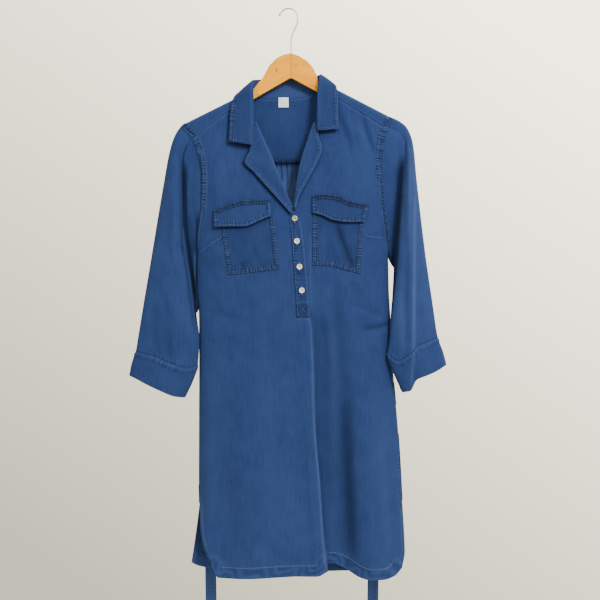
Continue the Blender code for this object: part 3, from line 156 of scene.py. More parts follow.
BACK_HEM = (
    # share across, z
    (0, -1110), (0.03, -1118), (0.1, -1125), (0.3, -1130), (0.6, -1131), (0.9, -1130), (0.97, -1124),
    (1, -1108),
)
BACK_EDGE_LEFT = ((-993.0, -178.5), (-1023.0, -182.2), (-1059.0, -187.2), (-1110.0, -195.0))
BACK_EDGE_RIGHT = ((-993.0, 228.5), (-1050.0, 231.0), (-1080.0, 231.5), (-1108.0, 226.0))
BACK_SEAM = {-1: -309.0, 1: -296.0}    # z of the back yoke seam at the left and right armholes
GATHERS = 14           # gathers under the back yoke
GATHER_FROM = -75.0
GATHER_TO = 85.0
GATHER_DEPTH = 3.2     # at the seam
GATHER_FADE = 0.36     # share of the back's height over which they die away

NECK_CURVE = (
    # share round the back neck, x, z
    (0, -76, -164.6), (0.12, -67, -176), (0.3, -42, -180.5), (0.5, -4, -180.5), (0.7, 33, -177),
    (0.88, 54, -163), (1, 62, -144),
)

# The collar's sections: neck seam, roll and leaf edge
COLLAR = (
    # share, seam x, y, z, roll x, y, z, edge x, y, z
    (0.00, -73.5, -28.5, -273.5, -70.8, -31, -274.6, -116.8, -27.5, -267.2),
    (0.08, -72.5, -26.5, -246, -70, -30, -247, -116.6, -25, -242),
    (0.16, -71.5, -20, -219.5, -69, -26.5, -219, -116.2, -22, -214),
    (0.23, -72.5, -16, -192, -69.5, -23, -186, -113.8, -18, -192),
    (0.28, -73, -14, -170, -70, -17.5, -160, -110, -12.5, -178.5),
    (0.32, -73, -2, -158.5, -68.5, -3, -142.5, -106, -2, -173),
    (0.36, -70, 9.5, -159.5, -64, 12, -140, -99, 12, -177),
    (0.42, -48, 12.5, -177, -42, 17, -138.5, -68, 20.5, -194),
    (0.50, -4, 12.5, -178.3, -3, 19, -137, -5, 24, -202),
    (0.58, 40, 12.5, -172.5, 36, 17, -134, 58, 20.5, -186),
    (0.64, 59, 9.5, -141, 57.5, 12, -131, 86.5, 12, -158),
    (0.68, 63, -2, -138.5, 62.5, -3, -130.8, 93, -2, -151.5),
    (0.72, 62, -14, -150, 60.5, -17.5, -143, 96.5, -12.5, -160),
    (0.77, 59.5, -16, -176, 57.5, -23, -170, 97.6, -18, -176),
    (0.84, 58.5, -19, -200, 57, -25, -199, 98, -20.5, -197),
    (0.92, 59.5, -24, -222, 56.8, -28, -222.5, 98, -22.5, -220),
    (1.00, 60.5, -26, -244, 57, -29, -245.4, 97.8, -25, -241.6),
)
COLLAR_SECTION = (
    # share from seam to roll, share from roll to edge, distance out from the stand
    (0, 0, 0), (0.5, 0, -0.4), (0.93, 0, -0.4), (1, 0, 0.6), (1, 0.01, 2.4), (1, 0.07, 3.5), (1, 0.4, 3.2),
    (1, 0.72, 1.8), (1, 1, 0),
)

LAPEL_LEFT = (
    # row, roll x, roll z, outer x, outer z
    (0, -65.5, -228, -71, -230), (1, -57, -247, -73.5, -256), (2, -45, -273, -77, -284),
    (3, -36, -293, -87.6, -308.5), (4, -27, -317, -69.5, -328.5), (5, -17, -341, -50, -350),
    (6, -8, -363, -28.5, -373.5), (7, 1, -384, -8.5, -395.5), (8, 7.6, -399.5, 6, -411),
)
LAPEL_RIGHT = (
    # row, roll x, roll z, outer x, outer z
    (0, 51, -229, 57, -231), (1, 44.5, -248, 59.6, -254.2), (2, 35, -277, 66.2, -281),
    (3, 27.5, -300, 60, -302.5), (4, 20.8, -330, 45, -332), (5, 16.2, -360, 29, -360.5),
    (6, 13.2, -382, 18.5, -382.5),
)
LAPEL_SECTION = (
    # share from roll to outer edge, height over the chest
    (0, -0.2), (0, 2.2), (0.07, 4), (0.3, 4.6), (0.65, 4.4), (1, 5.4),
)
LAPEL_TURN = (2.0, 1.6)    # how far the first points turn in behind the roll

PLACKET = (
    # row, left x, left z, right x, right z
    (0, 2, -419, 18.5, -414.5), (1, 3.5, -434, 26, -438), (2, 7, -475, 31.5, -478),
    (3, 11.4, -529, 36, -529), (4, 15, -588, 40.8, -586), (5, 16, -617, 42, -616.5),
)
BUTTONS = (
    # x, z
    (12.6, -421), (16.8, -466), (22, -517), (26.6, -564),
)

# Patch pockets and flaps: their upper and lower edges from left to right
POCKETS = (
    # name, upper edge, lower edge, as x, z
    (
        "pocket_L",
        ((-136.5, -420), (-110, -419), (-70, -418), (-29, -418)),
        ((-119.6, -533), (-86, -530), (-51, -526), (-17.4, -521.4)),
    ),
    (
        "pocket_R",
        ((48.5, -402), (83, -406), (118, -410), (150.5, -414)),
        ((47.8, -514.5), (80, -515.5), (112, -523), (142.4, -531.6)),
    ),
)
FLAPS = (
    # name, upper edge, lower edge, as x, z
    (
        "flap_L",
        ((-150.2, -404), (-113, -389), (-88, -383.6), (-62, -382.4), (-36, -382)),
        ((-147.5, -437), (-118, -437), (-89, -437), (-58, -425.6), (-35.2, -415.8)),
    ),
    (
        "flap_R",
        ((47.2, -375), (68, -371.8), (95, -374.5), (128, -386.6), (160, -392)),
        ((48, -410), (66, -414.5), (90, -425), (118, -428.4), (150.2, -427.6)),
    ),
)
FLAP_RISE = (
    # share from upper to lower edge, height of the flap's face over the chest
    (0, 4.2), (0.25, 4.6), (0.6, 5.6), (1, 7.4),
)

# Sleeves: lines from the shoulder to the cuff seam
SLEEVES = {
    "sleeve_L": {
        "side": -1,
        "outer": (
            # share, x, y, z
            (0, -211.5, 0, -233), (0.05, -222, 0, -245.6), (0.11, -231, 0, -264), (0.2, -239.2, -1, -293.8),
            (0.33, -249, -2, -349), (0.5, -262, -4, -426), (0.66, -275, -7, -507), (0.83, -290, -10, -598),
            (1, -304.2, -12, -687.2),
        ),
        "fold": (
            (0, -188.5, -10.5, -257), (0.05, -204, -11, -272), (0.11, -213, -11.5, -300),
            (0.2, -213.5, -12, -350), (0.33, -212, -13, -425), (0.5, -204.5, -13.5, -493),
            (0.66, -196.5, -14, -548), (0.83, -187.5, -15, -618), (0.92, -181.5, -15.5, -664),
            (1, -183, -15.5, -713),
        ),
        "inner": (
            (0, -185.2, 0, -483), (0.1, -187.5, 0, -500), (0.25, -189, -0.5, -522),
            (0.45, -190.5, -1, -556), (0.65, -190, -2, -590), (0.8, -186.5, -4.5, -622),
            (0.92, -180.8, -7, -664), (1, -182.2, -8.5, -714),
        ),
    },
    "sleeve_R": {
        "side": 1,
        "outer": (
            (0, 204, 0, -218), (0.05, 219, 0, -224.5), (0.11, 236, 0, -238), (0.2, 248.5, -1, -270),
            (0.33, 255.5, -3, -338), (0.5, 264.5, -6, -421), (0.66, 274.5, -10, -504),
            (0.83, 286, -15, -585), (1, 296, -20, -658),
        ),
        "fold": (
            (0, 194, -10.5, -238), (0.05, 218, -11, -247), (0.11, 233, -12, -276), (0.2, 228.8, -13, -330),
            (0.33, 222.8, -14.5, -403), (0.5, 218.5, -16, -475), (0.66, 215.5, -18, -528),
            (0.83, 206.5, -23, -612), (0.92, 203.2, -24, -660), (1, 198, -25, -690),
        ),
        "inner": (
            (0, 201.3, 0, -499), (0.1, 206.5, -0.5, -510), (0.25, 214.5, -2, -525),
            (0.45, 212.8, -3.5, -552), (0.65, 208.2, -8, -590), (0.8, 205.5, -12.5, -630),
            (0.92, 202.6, -16, -661), (1, 197.2, -17, -691),
        ),
    },
}
SLEEVE_DEPTH = (
    # share, front bulge, back bulge, valley behind the fold
    (0, 0, 0, 0), (0.1, 6, 6, 5), (0.25, 11, 11, 8), (0.5, 13, 14, 9), (0.75, 13, 14, 8), (1, 11, 12, 3),
)
SLEEVE_RIDGE = 4.0     # soft ridge down the middle of the right sleeve's front

CUFFS = {
    "cuff_L": {
        "sleeve": "sleeve_L",
        "seam": (
            # share from the outer to the inner edge, x, z
            (0, -304.2, -687.2), (0.28, -269.8, -695.8), (0.62, -227.8, -715), (0.82, -204.8, -721.5),
            (1, -182.2, -714),
        ),
        "edge": (
            (0, -314.8, -734.2), (0.3, -284, -749.5), (0.6, -254, -764), (0.86, -224, -775.5),
            (1, -207.5, -776.8),
        ),
        "middle": (-16, 15, 15),    # y between front and back, how far they bulge from there
    },
    "cuff_R": {
        "sleeve": "sleeve_R",
        "seam": (
            (0, 296, -658), (0.2, 276, -668), (0.4, 254.8, -678), (0.5, 246, -691), (0.75, 220, -707.5),
            (1, 197.2, -691),
        ),
        "edge": (
            (0, 311.4, -713), (0.2, 294, -724), (0.42, 274, -732.5), (0.62, 254, -742), (0.8, 243, -763),
            (1, 229, -766),
        ),
        "middle": (-26, 13, 13),
    },
}

TIES = {
    # name: x at the waist, x at the lower end, waist z, lower end z
    "tie_L": (-160, -155.5, -598, -1290),
    "tie_R": (176, 170, -592, -1282),
}
TIE_LIFT = 2.6         # height of a tie's inner face over the back
TIE_LEAVES = -1110.0   # z below which the ties hang free of the back's hem
TIE_RETURN = 6.0       # how far they swing back towards the middle plane there
TIE_RETURN_LENGTH = 180.0
LABEL = ((-21.4, -183.0), (1.0, -203.0))   # two corners, x and z
LABEL_LIFT = 0.6       # between the label and the yoke's inner face
YOKE_CROWDING = 0.35   # how much closer the columns stand at the ends of the back seam

# The looks' own sizes
TUCK = 2.6             # how far the body's cloth runs on under a sleeve's head
SLEEVE_START = -0.6    # where a sleeve's head begins, out from the body's edge
VALLEY_SHOW = 1.25     # how much deeper than the solid the valley behind a sleeve's fold is
SEAM_REACH = 14.0      # how far from its line a seam still marks the cloth
LABEL_RAISED = 7.0     # how much higher than the solid the label sits
POCKET_SHOW = 0.9      # height of a pocket's face over the chest
PLACKET_SHOW = 1.3     # the same of the placket
FLAP_SHOW = 0.78       # share of the flaps' heights that shows
FLOOR_Z = -1420.0
FLOOR_RADIUS = 780.0
FLOOR_COLOUR = (0.6, 0.58, 0.52)
CAMERA = (23.0, -3215.0, -583.0)
LENS = 96.2
SENSOR = 36.0
KNOTS = (
    # knots in the hanger's wood: x, z, across
    (-24, -123, 4.2), (15, -113, 2.6), (-62, -172, 3),
)

# Soft creases that the cloth hangs in: positive depth is a trough seen from outside, negative a ridge
FRONT_CREASES = (
    # x0, z0, x1, z1, bend, width, lean, depth at start, in the middle and at the end
    # right chest: wrinkles that fall from the shoulder seam
    (146, -208, 172, -292, 4, 5.5, 0.3, 1.4, 2.8, 0.2), (158, -206, 182, -288, 4, 5, 0.3, -0.8, -1.8, 0),
    (100, -214, 124, -292, -3, 6, 0.2, 0.6, 2, 0.1), (113, -212, 137, -300, -3, 6, 0.2, -0.4, -1.3, 0),
    (124, -204, 150, -330, 4, 9, 0, 0.3, 1, 0), (84, -300, 60, -372, 3, 7, 0.2, 0.3, 1.2, 0.2),
    # left chest: slack beside the lapel and above the flap
    (-108, -262, -62, -372, 5, 10, 0.2, 0.4, 1.4, 0.4), (-140, -250, -122, -360, -4, 8, 0.2, 0.3, 1.3, 0.3),
    (-160, -300, -140, -430, -6, 8, 0.2, 0.2, -1.2, -0.2),
    (-86, -300, -44, -388, 4, 7, 0.1, -0.3, -1, -0.2),
    # under the arms and beside the pockets
    (-172, -500, -120, -566, 6, 8, 0.2, 0.8, 1.2, 0), (-170, -560, -96, -640, 8, 11, 0.2, 0.8, 1.3, 0),
    (186, -500, 140, -560, -6, 8, -0.2, 0.8, 1.3, 0.1), (152, -640, 199, -630, 4, 4.5, 0.3, 0.3, 2.4, 1.4),
    (150, -655, 199, -647, 4, 5, 0.3, -0.1, -1.3, -0.8), (-28, -580, -44, -700, 3, 9, 0.1, 0.1, 0.9, 0.1),
    # waist: shallow horizontal slack where the ties draw the back
    (-176, -600, -30, -622, 8, 9, 0.2, 0.9, 0.9, 0), (-170, -668, -60, -676, -6, 9, 0.2, 0.8, 0.7, 0),
    (196, -690, 120, -712, 6, 10, 0.2, 1, 0.9, 0), (60, -560, 84, -760, 3, 8, 0.2, 0.2, 1.8, 0.4),
    (88, -545, 110, -760, 4, 9, 0.2, 1.2, 1.8, 0.3),
    # skirt left of the fold: broad shallow waves
    (-132, -700, -142, -1080, 6, 12, 0.1, 0.2, 1.5, 0.6),
    (-104, -640, -92, -1060, -6, 15, 0.1, 0.1, -1.4, -0.4),
    (-58, -760, -52, -1090, 5, 13, 0.1, 0.1, 1.5, 0.5),
    (-12, -700, -2, -1090, -5, 15, 0.1, 0.1, -1.3, -0.5), (30, -800, 44, -1090, 4, 10, 0.3, 0.4, 2, 1.2),
    (-168, -900, -176, -1100, 3, 8, 0.1, 0.2, 1.5, 1),
    # right of the fold: the dark valley and its banks
    (106, -760, 122, -1080, 5, 13, -0.3, 0.8, 4.2, 2.2), (128, -770, 142, -1090, 4, 9, 0.1, -0.3, -2, -1.2),
    (84, -640, 96, -1000, 4, 9, 0.1, -0.2, -1.6, -0.8), (166, -800, 178, -1080, 3, 10, 0.1, 0.2, 1.5, 0.8),
    (196, -860, 208, -1060, 3, 9, 0.1, 0.1, 1.3, 0.8),
)
BACK_CREASES = (
    # x0, z0, x1, z1, bend, width, lean, depth at start, in the middle and at the end
    (-118, -330, -128, -600, 5, 9, 0.4, 0.4, 1.8, 0), (-84, -520, -96, -980, 8, 14, 0.2, 0.3, 2.4, 0.8),
    (-40, -420, -46, -900, -6, 12, 0.2, 0.6, -1.8, -0.5), (4, -430, 0, -960, 5, 13, 0.2, 0.8, 2.4, 1),
    (46, -420, 58, -900, 6, 12, 0.1, 0.5, -1.8, -0.5), (92, -500, 104, -1000, -7, 14, 0.2, 0.4, 2.6, 1),
    (140, -600, 160, -1100, 6, 13, 0.1, 0.2, 1.9, 0.8),
    (-130, -700, -150, -1100, -5, 12, 0.1, 0.2, 1.8, 0.8), (-170, -300, -128, -420, 6, 8, 0.2, 1.4, 1.6, 0),
    (186, -300, 144, -430, -6, 8, 0.2, 1.5, 1.5, 0), (-176, -560, -112, -640, 7, 8, 0.2, 1, 1.6, 0),
    (196, -560, 130, -630, -8, 8, 0.2, 1, 1.6, 0), (-60, -600, 70, -612, 6, 7, 0.3, 0, 1.2, 0),
    (-150, -616, -30, -640, -5, 8, 0.3, 1.2, 0.8, 0),
)
SLEEVE_CREASES = {
    "sleeve_L": (
        # the dark crease beside the armhole and the lit pad between them
        (-216, -290, -214, -490, -4, 5.5, 0.5, 1.2, 4.4, 2.4),
        (-214, -480, -192, -640, -2, 5.5, 0.4, 2.2, 3.2, 1),
        (-230, -300, -234, -520, -4, 8, 0.1, -0.6, -2, -0.6),
        (-204, -300, -202, -420, -2, 5, 0.1, -0.3, -1.6, -0.6),
        (-240, -430, -222, -560, 4, 7, 0.3, 0.3, 1.4, 0.1),
        (-262, -520, -224, -650, 5, 8, 0.2, 0.1, 1.6, 0.3),
        (-272, -560, -262, -690, 4, 9, 0.2, 0.2, 1.6, 0.5),
        (-288, -620, -290, -690, 2, 6, 0.1, 0.1, 1.4, 0.9),
        (-240, -600, -236, -715, 3, 7, 0.2, 0.3, 1.6, 0.8),
        (-256, -330, -240, -420, 5, 8, 0.2, 0.1, 1.2, 0.1),
    ),
    "sleeve_R": (
        (252, -440, 246, -680, 3, 6, 0.2, -0.6, -2.6, -1), (238, -460, 232, -690, 3, 6, 0.2, 0.6, 2, 0.6),
        (264, -520, 270, -700, 3, 7, 0.2, 0.2, 1.8, 0.6), (224, -560, 214, -680, -3, 6, 0.2, 0.2, 1.4, 0.4),
        (206, -236, 236, -268, 4, 7, 0.2, 0.6, 1.6, 0.2), (216, -222, 238, -300, -3, 8, 0.2, 0.2, 1.2, 0),
    ),
}
SLEEVE_BACK_CREASES = {
    "sleeve_L": (
        (-210, -330, -240, -520, 5, 8, 0.2, 1.2, 2.2, 0.4),
        (-232, -480, -262, -680, -4, 9, 0.2, 0.4, 2.2, 0.8),
        (-206, -520, -226, -690, 3, 7, 0.2, 0.6, 1.8, 0.5),
        (-250, -400, -270, -560, 4, 8, 0.2, 0.2, 1.6, 0.2),
    ),
    "sleeve_R": (
        (222, -320, 250, -520, -5, 8, 0.2, 1.2, 2.2, 0.4), (226, -480, 252, -690, 4, 9, 0.2, 0.4, 2.2, 0.8),
        (244, -400, 268, -620, 3, 8, 0.2, 0.2, 1.8, 0.2),
    ),
}
POCKET_CREASES = {
    "pocket_L": (
        (-92, -508, -84, -532, 2, 4, 0.2, 0.3, 1.8, 0.4), (-70, -470, -54, -520, 3, 7, 0.2, 0.2, 1, 0.2),
    ),
    "pocket_R": (
        (95, -436, 128, -518, -2, 5, -0.3, 0.8, 3.6, 1),
        (80, -450, 106, -520, -2, 7, 0.1, -0.2, -1.2, -0.3),
    ),
}
FLAP_CURL = {
    # name: lift of the lower left corner, lower right corner and middle
    "flap_L": (3, 0.5, 0.5),
    "flap_R": (0.5, 2, 1),
}

WORLD_COLOUR = (1.0, 0.95, 0.71, 1.0)
WORLD_STRENGTH = 2.0
WORLD_SLOPE = (1.9, 2.9)   # how fast the light grows to the right and upwards
WORLD_RANGE = 0.75     # the studio's light from the brightest or dimmest side, as a power of e
WORLD_FRONT = 0.75     # the same from in front of the dress, as a share of that from behind
LIGHTS = (
    # name, place, aim, size, power in watts
    ("key", (1.1, -2.2, 1), (0, 0, -0.55), 0.6, 122), ("fill", (-1.9, -1.9, -0.2), (0, 0, -0.6), 1.8, 22),
    ("rear", (0.6, 2.3, 0.8), (0, 0, -0.55), 1.8, 60),
)
CLOTH_DEEP = (0.0047, 0.0109, 0.0445, 1.0)
CLOTH_LIGHT = (0.011, 0.0252, 0.0925, 1.0)
# The faded colour also gives painted light, and the dark one also gives painted shade
CLOTH_FADED_AND_LIT = (0.022, 0.0395, 0.12, 1.0)
CLOTH_DARK = (0.0022, 0.0048, 0.02, 1.0)
INNER_PAINTED_LIGHT = (0.06, 0.1, 0.27, 1.0)     # painted light on the gathers' inner side down in the neck
SHEEN_TINT = (0.4, 0.6, 1.0, 1.0)
THREAD_COLOUR = (0.05, 0.085, 0.18)
LABEL_DEEP = (0.36, 0.4, 0.44, 1.0)
LABEL_PALE = (0.5, 0.53, 0.56, 1.0)
PEARL_COLOURS = ((0.24, 0.27, 0.27, 1.0), (0.5, 0.49, 0.43, 1.0))
SHADED_PEARL_COLOURS = ((0.09, 0.11, 0.075, 1.0), (0.26, 0.27, 0.19, 1.0))     # of the top button, in shade
WOOD_DEEP = (0.43, 0.157, 0.0, 1.0)
WOOD_PALE = (0.58, 0.235, 0.0, 1.0)
WOOD_VEIN = (0.32, 0.085, 0.0, 1.0)
WOOD_BRIGHT = (0.64, 0.28, 0.0, 1.0)
WOOD_KNOT = (0.17, 0.04, 0.0, 1.0)
WOOD_UNDERSIDE_SHADE = (0.1, 0.03, 0.004, 1.0)    # painted shade on the arm's underside
GLUE_COLOUR = (0.3, 0.12, 0.03)
STEEL_COLOUR = (0.42, 0.42, 0.42, 1.0)
HEM_DEEP = 21.5        # from the hem's edge to its stitches
PLACKET_BOX = -589.0   # z of the top of the crossed box at the placket's foot

# How much paler (above zero) or darker (below) each piece is painted; below zero it is painted shade
COLLAR_SHADE = -0.24
LAPEL_SHADE = -0.1
POCKET_SHADE = -0.22
FLAP_SHADE = {"flap_L": -0.08, "flap_R": -0.28}
CUFF_SHADE = {"cuff_L": -0.1, "cuff_R": -0.02}
TIE_FADED = 0.52
CUFF_SHADES = {
    # soft bands: x0, z0, x1, z1, width, strength; the right cuff's band is a painted highlight along its
    # ridge
    "cuff_L": (),
    "cuff_R": ((248, -688, 244, -752, 3, 0.7),),
}
FOLD_SHADOW = {
    # beside each sleeve's front fold: distance, width and strength of the dark strip, and z of its top
    "sleeve_L": (4.8, 5.6, 1.4, -288),
    "sleeve_R": (6, 9, 1.6, -283),
}
HEAD_FLAT = 0.3        # share of the right sleeve's bulge that is left near its head
LOW_SHADOW = {"sleeve_L": 0.6, "sleeve_R": 0.3}     # share of that strip lower down
BEADS_END = {-1: -404.0, 1: -350.0}   # z where the armholes' beaded seams run out in front
FOLD_SOFT = {
    # share of a sleeve's length over which its front fold is rounded away, share over which it returns
    "sleeve_L": (0.16, 0.14),
    "sleeve_R": (0.1, 0.12),
}
KNOT_SHAPE = (1.5, 0.0, 0.75)
DARTS = (
    # seams beside the armholes, from x, z to x, z
    ((-177.4, -487.4), (-158, -474), (-135.2, -459)), ((150.2, -450.4), (162.4, -457), (190, -458)),
)
# Soft bands on the front: the dark ones along its valleys and creases are painted shade, the wide pale ones
# painted light, and the narrow pale ones lines along edges and seams
FRONT_SHADES = (
    # x0, z0, x1, z1, width, strength
    (112, -790, 124, -1085, 15, -0.55), (43.5, -455, 44.5, -596, 1.8, 0.4), (70, -640, 84, -1000, 14, -0.2),
    (100, -560, 112, -780, 12, -0.22), (60, -240, 92, -372, 12, -0.12), (-150, -640, -150, -1050, 22, 0.08),
    (-40, -700, -30, -1060, 24, 0.08), (150, -240, 160, -340, 12, 0.12), (-130, -240, -128, -360, 16, 0.1),
    (150, -640, 199, -630, 5, -0.35), (180, -800, 200, -1080, 16, 0.1),
    (-177, -973, -169.5, -1058, 2.4, 0.5), (-169.5, -1058, -157, -1103, 2.4, 0.5),
    (15, -619, 42, -619, 2.4, 0.45), (126, -546, 146, -572, 8, -0.18),
)
BACK_SHADES = (
    (-120, -420, -132, -900, 16, 0.12), (60, -480, 70, -1000, 16, 0.12), (0, -500, 0, -1050, 14, -0.15),
)
# Soft bands on the pockets: the dark ones are painted shade in their creases
POCKET_SHADES = {
    "pocket_L": ((-92, -508, -84, -532, 5, -0.3),),
    "pocket_R": ((96, -432, 129, -520, 6.5, -0.55), (72, -440, 66, -500, 8, 0.15)),
}
# Soft bands on the sleeves' fronts: the dark ones are painted shade in the creases and under the arm, the
# pale ones painted light, with painted highlights along the right sleeve's ridge
SLEEVE_SHADES = {
    "sleeve_L": (
        (-215, -300, -213, -480, 3.6, -0.5), (-211, -470, -188, -640, 4, -0.4),
        (-181, -412, -187, -490, 4.5, -0.9), (-236, -300, -262, -520, 12, 0.14),
        (-200, -320, -200, -420, 6, 0.1), (-270, -560, -290, -690, 10, 0.16),
        (-250, -600, -232, -700, 9, -0.12),
    ),
    "sleeve_R": (
        (252, -380, 249, -560, 3, 0.65), (249, -560, 248, -690, 3, 0.75),
        (224, -560, 226, -680, 8, 0.3), (206, -250, 214, -320, 10, 0.2),
        (238, -300, 232, -660, 16, 0.3), (250, -300, 280, -660, 16, 0.22),
    ),
}
SLEEVE_NUDGE = {
    # how far the looks' sleeve lines lie from the solid's: share, x, y, z
    ("sleeve_L", "inner"): (
        (0, 0, 0, 0), (0.1, 2.6, 2, 0), (0.25, 4.2, 3.4, 0), (0.45, 4.4, 3.4, 0), (0.56, 2.4, 2, 0),
        (0.66, 0.6, 0, 0), (0.8, 1, 0, 0), (0.92, 1.6, 4, 0), (1, 0, 0, 0),
    ),
    ("sleeve_R", "fold"): (
        (0, 0, 0, 0), (0.11, 3, -1, 0), (0.2, 4.5, -1.5, 0), (0.33, 3.5, -2, 0), (0.5, 2.5, -2, 0),
        (1, 0, 0, 0),
    ),
}
GATHER_SHOW = 0.5      # share of the solid's gathers that the cloth shows
LAPEL_POINT = ((7, 11.4, -399, 13.4, -400.5),)    # row that ends the right lapel in a point
HIDDEN_SHADE = {"sleeve_L": 0.0, "sleeve_R": 0.12}  # how much darker a sleeve is behind its fold
UNDER_EDGE_SHADOW = 0.85     # painted shadow under the edges of the collar, lapels and flaps, at its darkest
LABEL_TRIM = 1.0       # how much narrower than the solid the label is on each side
SLEEVE_CLEAR = (
    # z, gap between the left sleeve's inner edge and the body's edge
    (-800, 40), (-640, 40), (-614, 12), (-604, 2), (-598, 0.3), (-500, 0.3), (-480, 2), (-300, 2),
)
BEAD_PITCH = 5.6       # between the puckers along a seam
FRONT_COLUMNS = {-1: 62, 1: 56}     # mesh columns to the left and right of the placket
RING_FRONT = 46        # steps of a sleeve's ring from its outer edge to the fold, to the inner edge, and back
RING_UNDER = 16
RING_BACK = 50
UNDER_SHARES = (np.arange(RING_UNDER + 1) / RING_UNDER) ** 1.15
CUFF_FOLD = {"sleeve_L": 0.97, "sleeve_R": 0.96}    # where the fold meets the cuff, as a share of its width
FOLD_TOP = -596.0      # z from which the fold under the placket shows
YOKE_ARM_TOP = {-1: -236.0, 1: -222.0}  # z of the tops of the yoke's armhole seams behind
EDGE_SEAM = 5.0        # from the free edge of the collar and lapels to their puckered ridge
EDGE_STITCHES = 5.2    # from the same edge to their stitches

# From a seam or an edge to the rows of stitches beside it
ARM_STITCHES = (1.8, 7.4)
SIDE_STITCHES = 5.0
VENT_STITCHES = 6.0
STRAP_STITCHES = (1.8, 7.0)
BACK_SEAM_STITCHES = (2.0, 7.0)
POCKET_STITCHES = (1.6, 5.8)
FLAP_STITCHES = (3.2,)
FLAP_TOP_STITCHES = (2.0, 7.6)
PLACKET_STITCHES = 2.2
CUFF_TOP_STITCHES = (1.8, 6.6)
CUFF_FOOT_STITCHES = 4.8
TIE_STITCHES = (0.17, 0.83)    # as shares of a tie's width

BUTTONHOLE_HALF = 8.0  # half the length of a buttonhole
BUTTONHOLE_ROWS = (-0.55, 0.55)
BAR_HALF = 1.6         # half the width of the bars that end it
BAR_ROWS = (-0.35, 0.0, 0.35)
ARMHOLE_ZONE = (165.0, -505.0)     # beyond this x and above this z, the front's seams are the armholes'
BEADS_WEAK = (-290.0, 22.0)    # z and reach of the stretch where the armholes' beads are weak in front
BEADS_WEAK_ABOVE = -330.0      # z above which that counts
FOLD_FOOT = -1124.0    # z to which the fold under the placket is rubbed pale
GATHERS_PALE = 60.0    # half the width in which the gathers' inner side shows in the neck and is given painted light
GATHERS_PALE_TOP = -304.0      # z of the yoke seam there
SLEEVE_LONG = 500.0    # length of a sleeve by which the widths at its seams are measured
CUFF_TALL = 52.0       # and height of a cuff

CUTS = {
    # wall, flat size in metres, area in square metres where it isn't their product, how held, rests on
    "front": (1.0, (0.46, 1.0), None, "hung", ["yoke"]),
    "back": (1.0, (0.56, 0.86), 0.45, "hung", ["yoke"]),
    "yoke": (1.0, (0.42, 0.22), 0.062, "hung", ["hanger_L", "hanger_R"]),
    "collar": (1.0, (0.64, 0.11), 0.03, "folded", ["yoke"]),
    "lapel_L": (1.0, (0.2, 0.04), 0.00675, "folded", ["front"]),
    "lapel_R": (1.0, (0.2, 0.04), 0.00432, "folded", ["front"]),
    "placket": (1.2, (0.026, 0.2), None, "laid", ["front"]),
    "neck_label": (0.5, (0.0224, 0.02), None, "laid", ["yoke"]),
}
for letter in "LR":
    CUTS["pocket_" + letter] = (0.9, (0.113, 0.115), None, "laid", ["front"])
    CUTS["flap_" + letter] = (1.1, (0.12, 0.055), None, "laid", ["front"])
    CUTS["sleeve_" + letter] = (1.0, (0.26, 0.46), 0.098, "hung", ["yoke"])
    CUTS["cuff_" + letter] = (1.6, (0.27, 0.05), None, "hung", ["sleeve_" + letter])
    CUTS["tie_" + letter] = (1.2, (0.023, 0.7), None, "hung", ["back"])


# ---------------------------------------------------------------- curves and surfaces

def read(rows, t):
    """Values of a table's columns at t, on smooth curves through its rows that don't overshoot."""
    table = np.array(rows, dtype=float)
    table = table[np.argsort(table[:, 0], kind="stable")]
    keys, columns = table[:, 0], table[:, 1:]
    rises = np.diff(columns, axis=0) / np.diff(keys)[:, None]
    slopes = np.zeros_like(columns)
    slopes[0], slopes[-1] = rises[0], rises[-1]
    before, after = rises[:-1], rises[1:]
    same = before * after > 0
    total = np.where(same, before + after, 1.0)
    slopes[1:-1] = np.where(same, 2 * before * after / total, 0.0)
    t = np.asarray(t, dtype=float)
    i = np.clip(np.searchsorted(keys, t, side="right") - 1, 0, len(keys) - 2)
    span = keys[i + 1] - keys[i]
    s = np.clip((t - keys[i]) / span, 0.0, 1.0)[..., None]
    span = span[..., None]
    return (
        columns[i] * (2 * s**3 - 3 * s**2 + 1) + slopes[i] * span * (s**3 - 2 * s**2 + s)
        + columns[i + 1] * (3 * s**2 - 2 * s**3) + slopes[i + 1] * span * (s**3 - s**2)
    )


def mix(a, b, t):
    return a + (b - a) * t


def ease(t):
    t = np.clip(t, 0.0, 1.0)
    return t * t * (3 - 2 * t)


def bell(t):
    return np.exp(-t * t)


def unit(vectors):
    return vectors / (np.linalg.norm(vectors, axis=-1, keepdims=True) + 1e-9)


def columns_of(table):
    return np.moveaxis(table, -1, 0)


def run_of(line):
    return np.concatenate([[0.0], np.cumsum(np.linalg.norm(np.diff(line, axis=0), axis=1))])


def numbered(rows):
    """Rows with the share of the way through them in front."""
    return tuple((i / (len(rows) - 1), *row) for i, row in enumerate(rows))


def edge_x(side, z):
    return read(EDGES[side], z)[..., 0]


def shoulder_z(x):
    left_neck, left_end = SHOULDER[-1]
    right_neck, right_end = SHOULDER[1]
    line = np.array([left_end, left_neck, right_neck, right_end])
    z = np.interp(x, line[:, 0], line[:, 1])
    left_slope = (line[1, 1] - line[0, 1]) / (line[1, 0] - line[0, 0])
    right_slope = (line[3, 1] - line[2, 1]) / (line[3, 0] - line[2, 0])
    z = z + np.minimum(x - line[0, 0], 0.0) * left_slope
    return z + np.maximum(x - line[3, 0], 0.0) * right_slope


def beside_line(x, z, x0, z0, x1, z1):
    """Share of the way along a straight line, the line's length and the distance to one side."""
    dx, dz = x1 - x0, z1 - z0
    length = math.hypot(dx, dz)
    return ((x - x0) * dx + (z - z0) * dz) / length**2, length, ((x - x0) * dz - (z - z0) * dx) / length


def fold_sum(folds, x, z):
    total = 0.0
    for x0, z0, x1, z1, half_width, top_depth, bottom_depth in folds:
        t, _, aside = beside_line(x, z, x0, z0, x1, z1)
        ends = ease((t + 0.2) / 0.4) * ease((1.2 - t) / 0.2)
        total = total + mix(top_depth, bottom_depth, np.clip(t, 0, 1)) * ends * bell(aside / half_width)
    return total


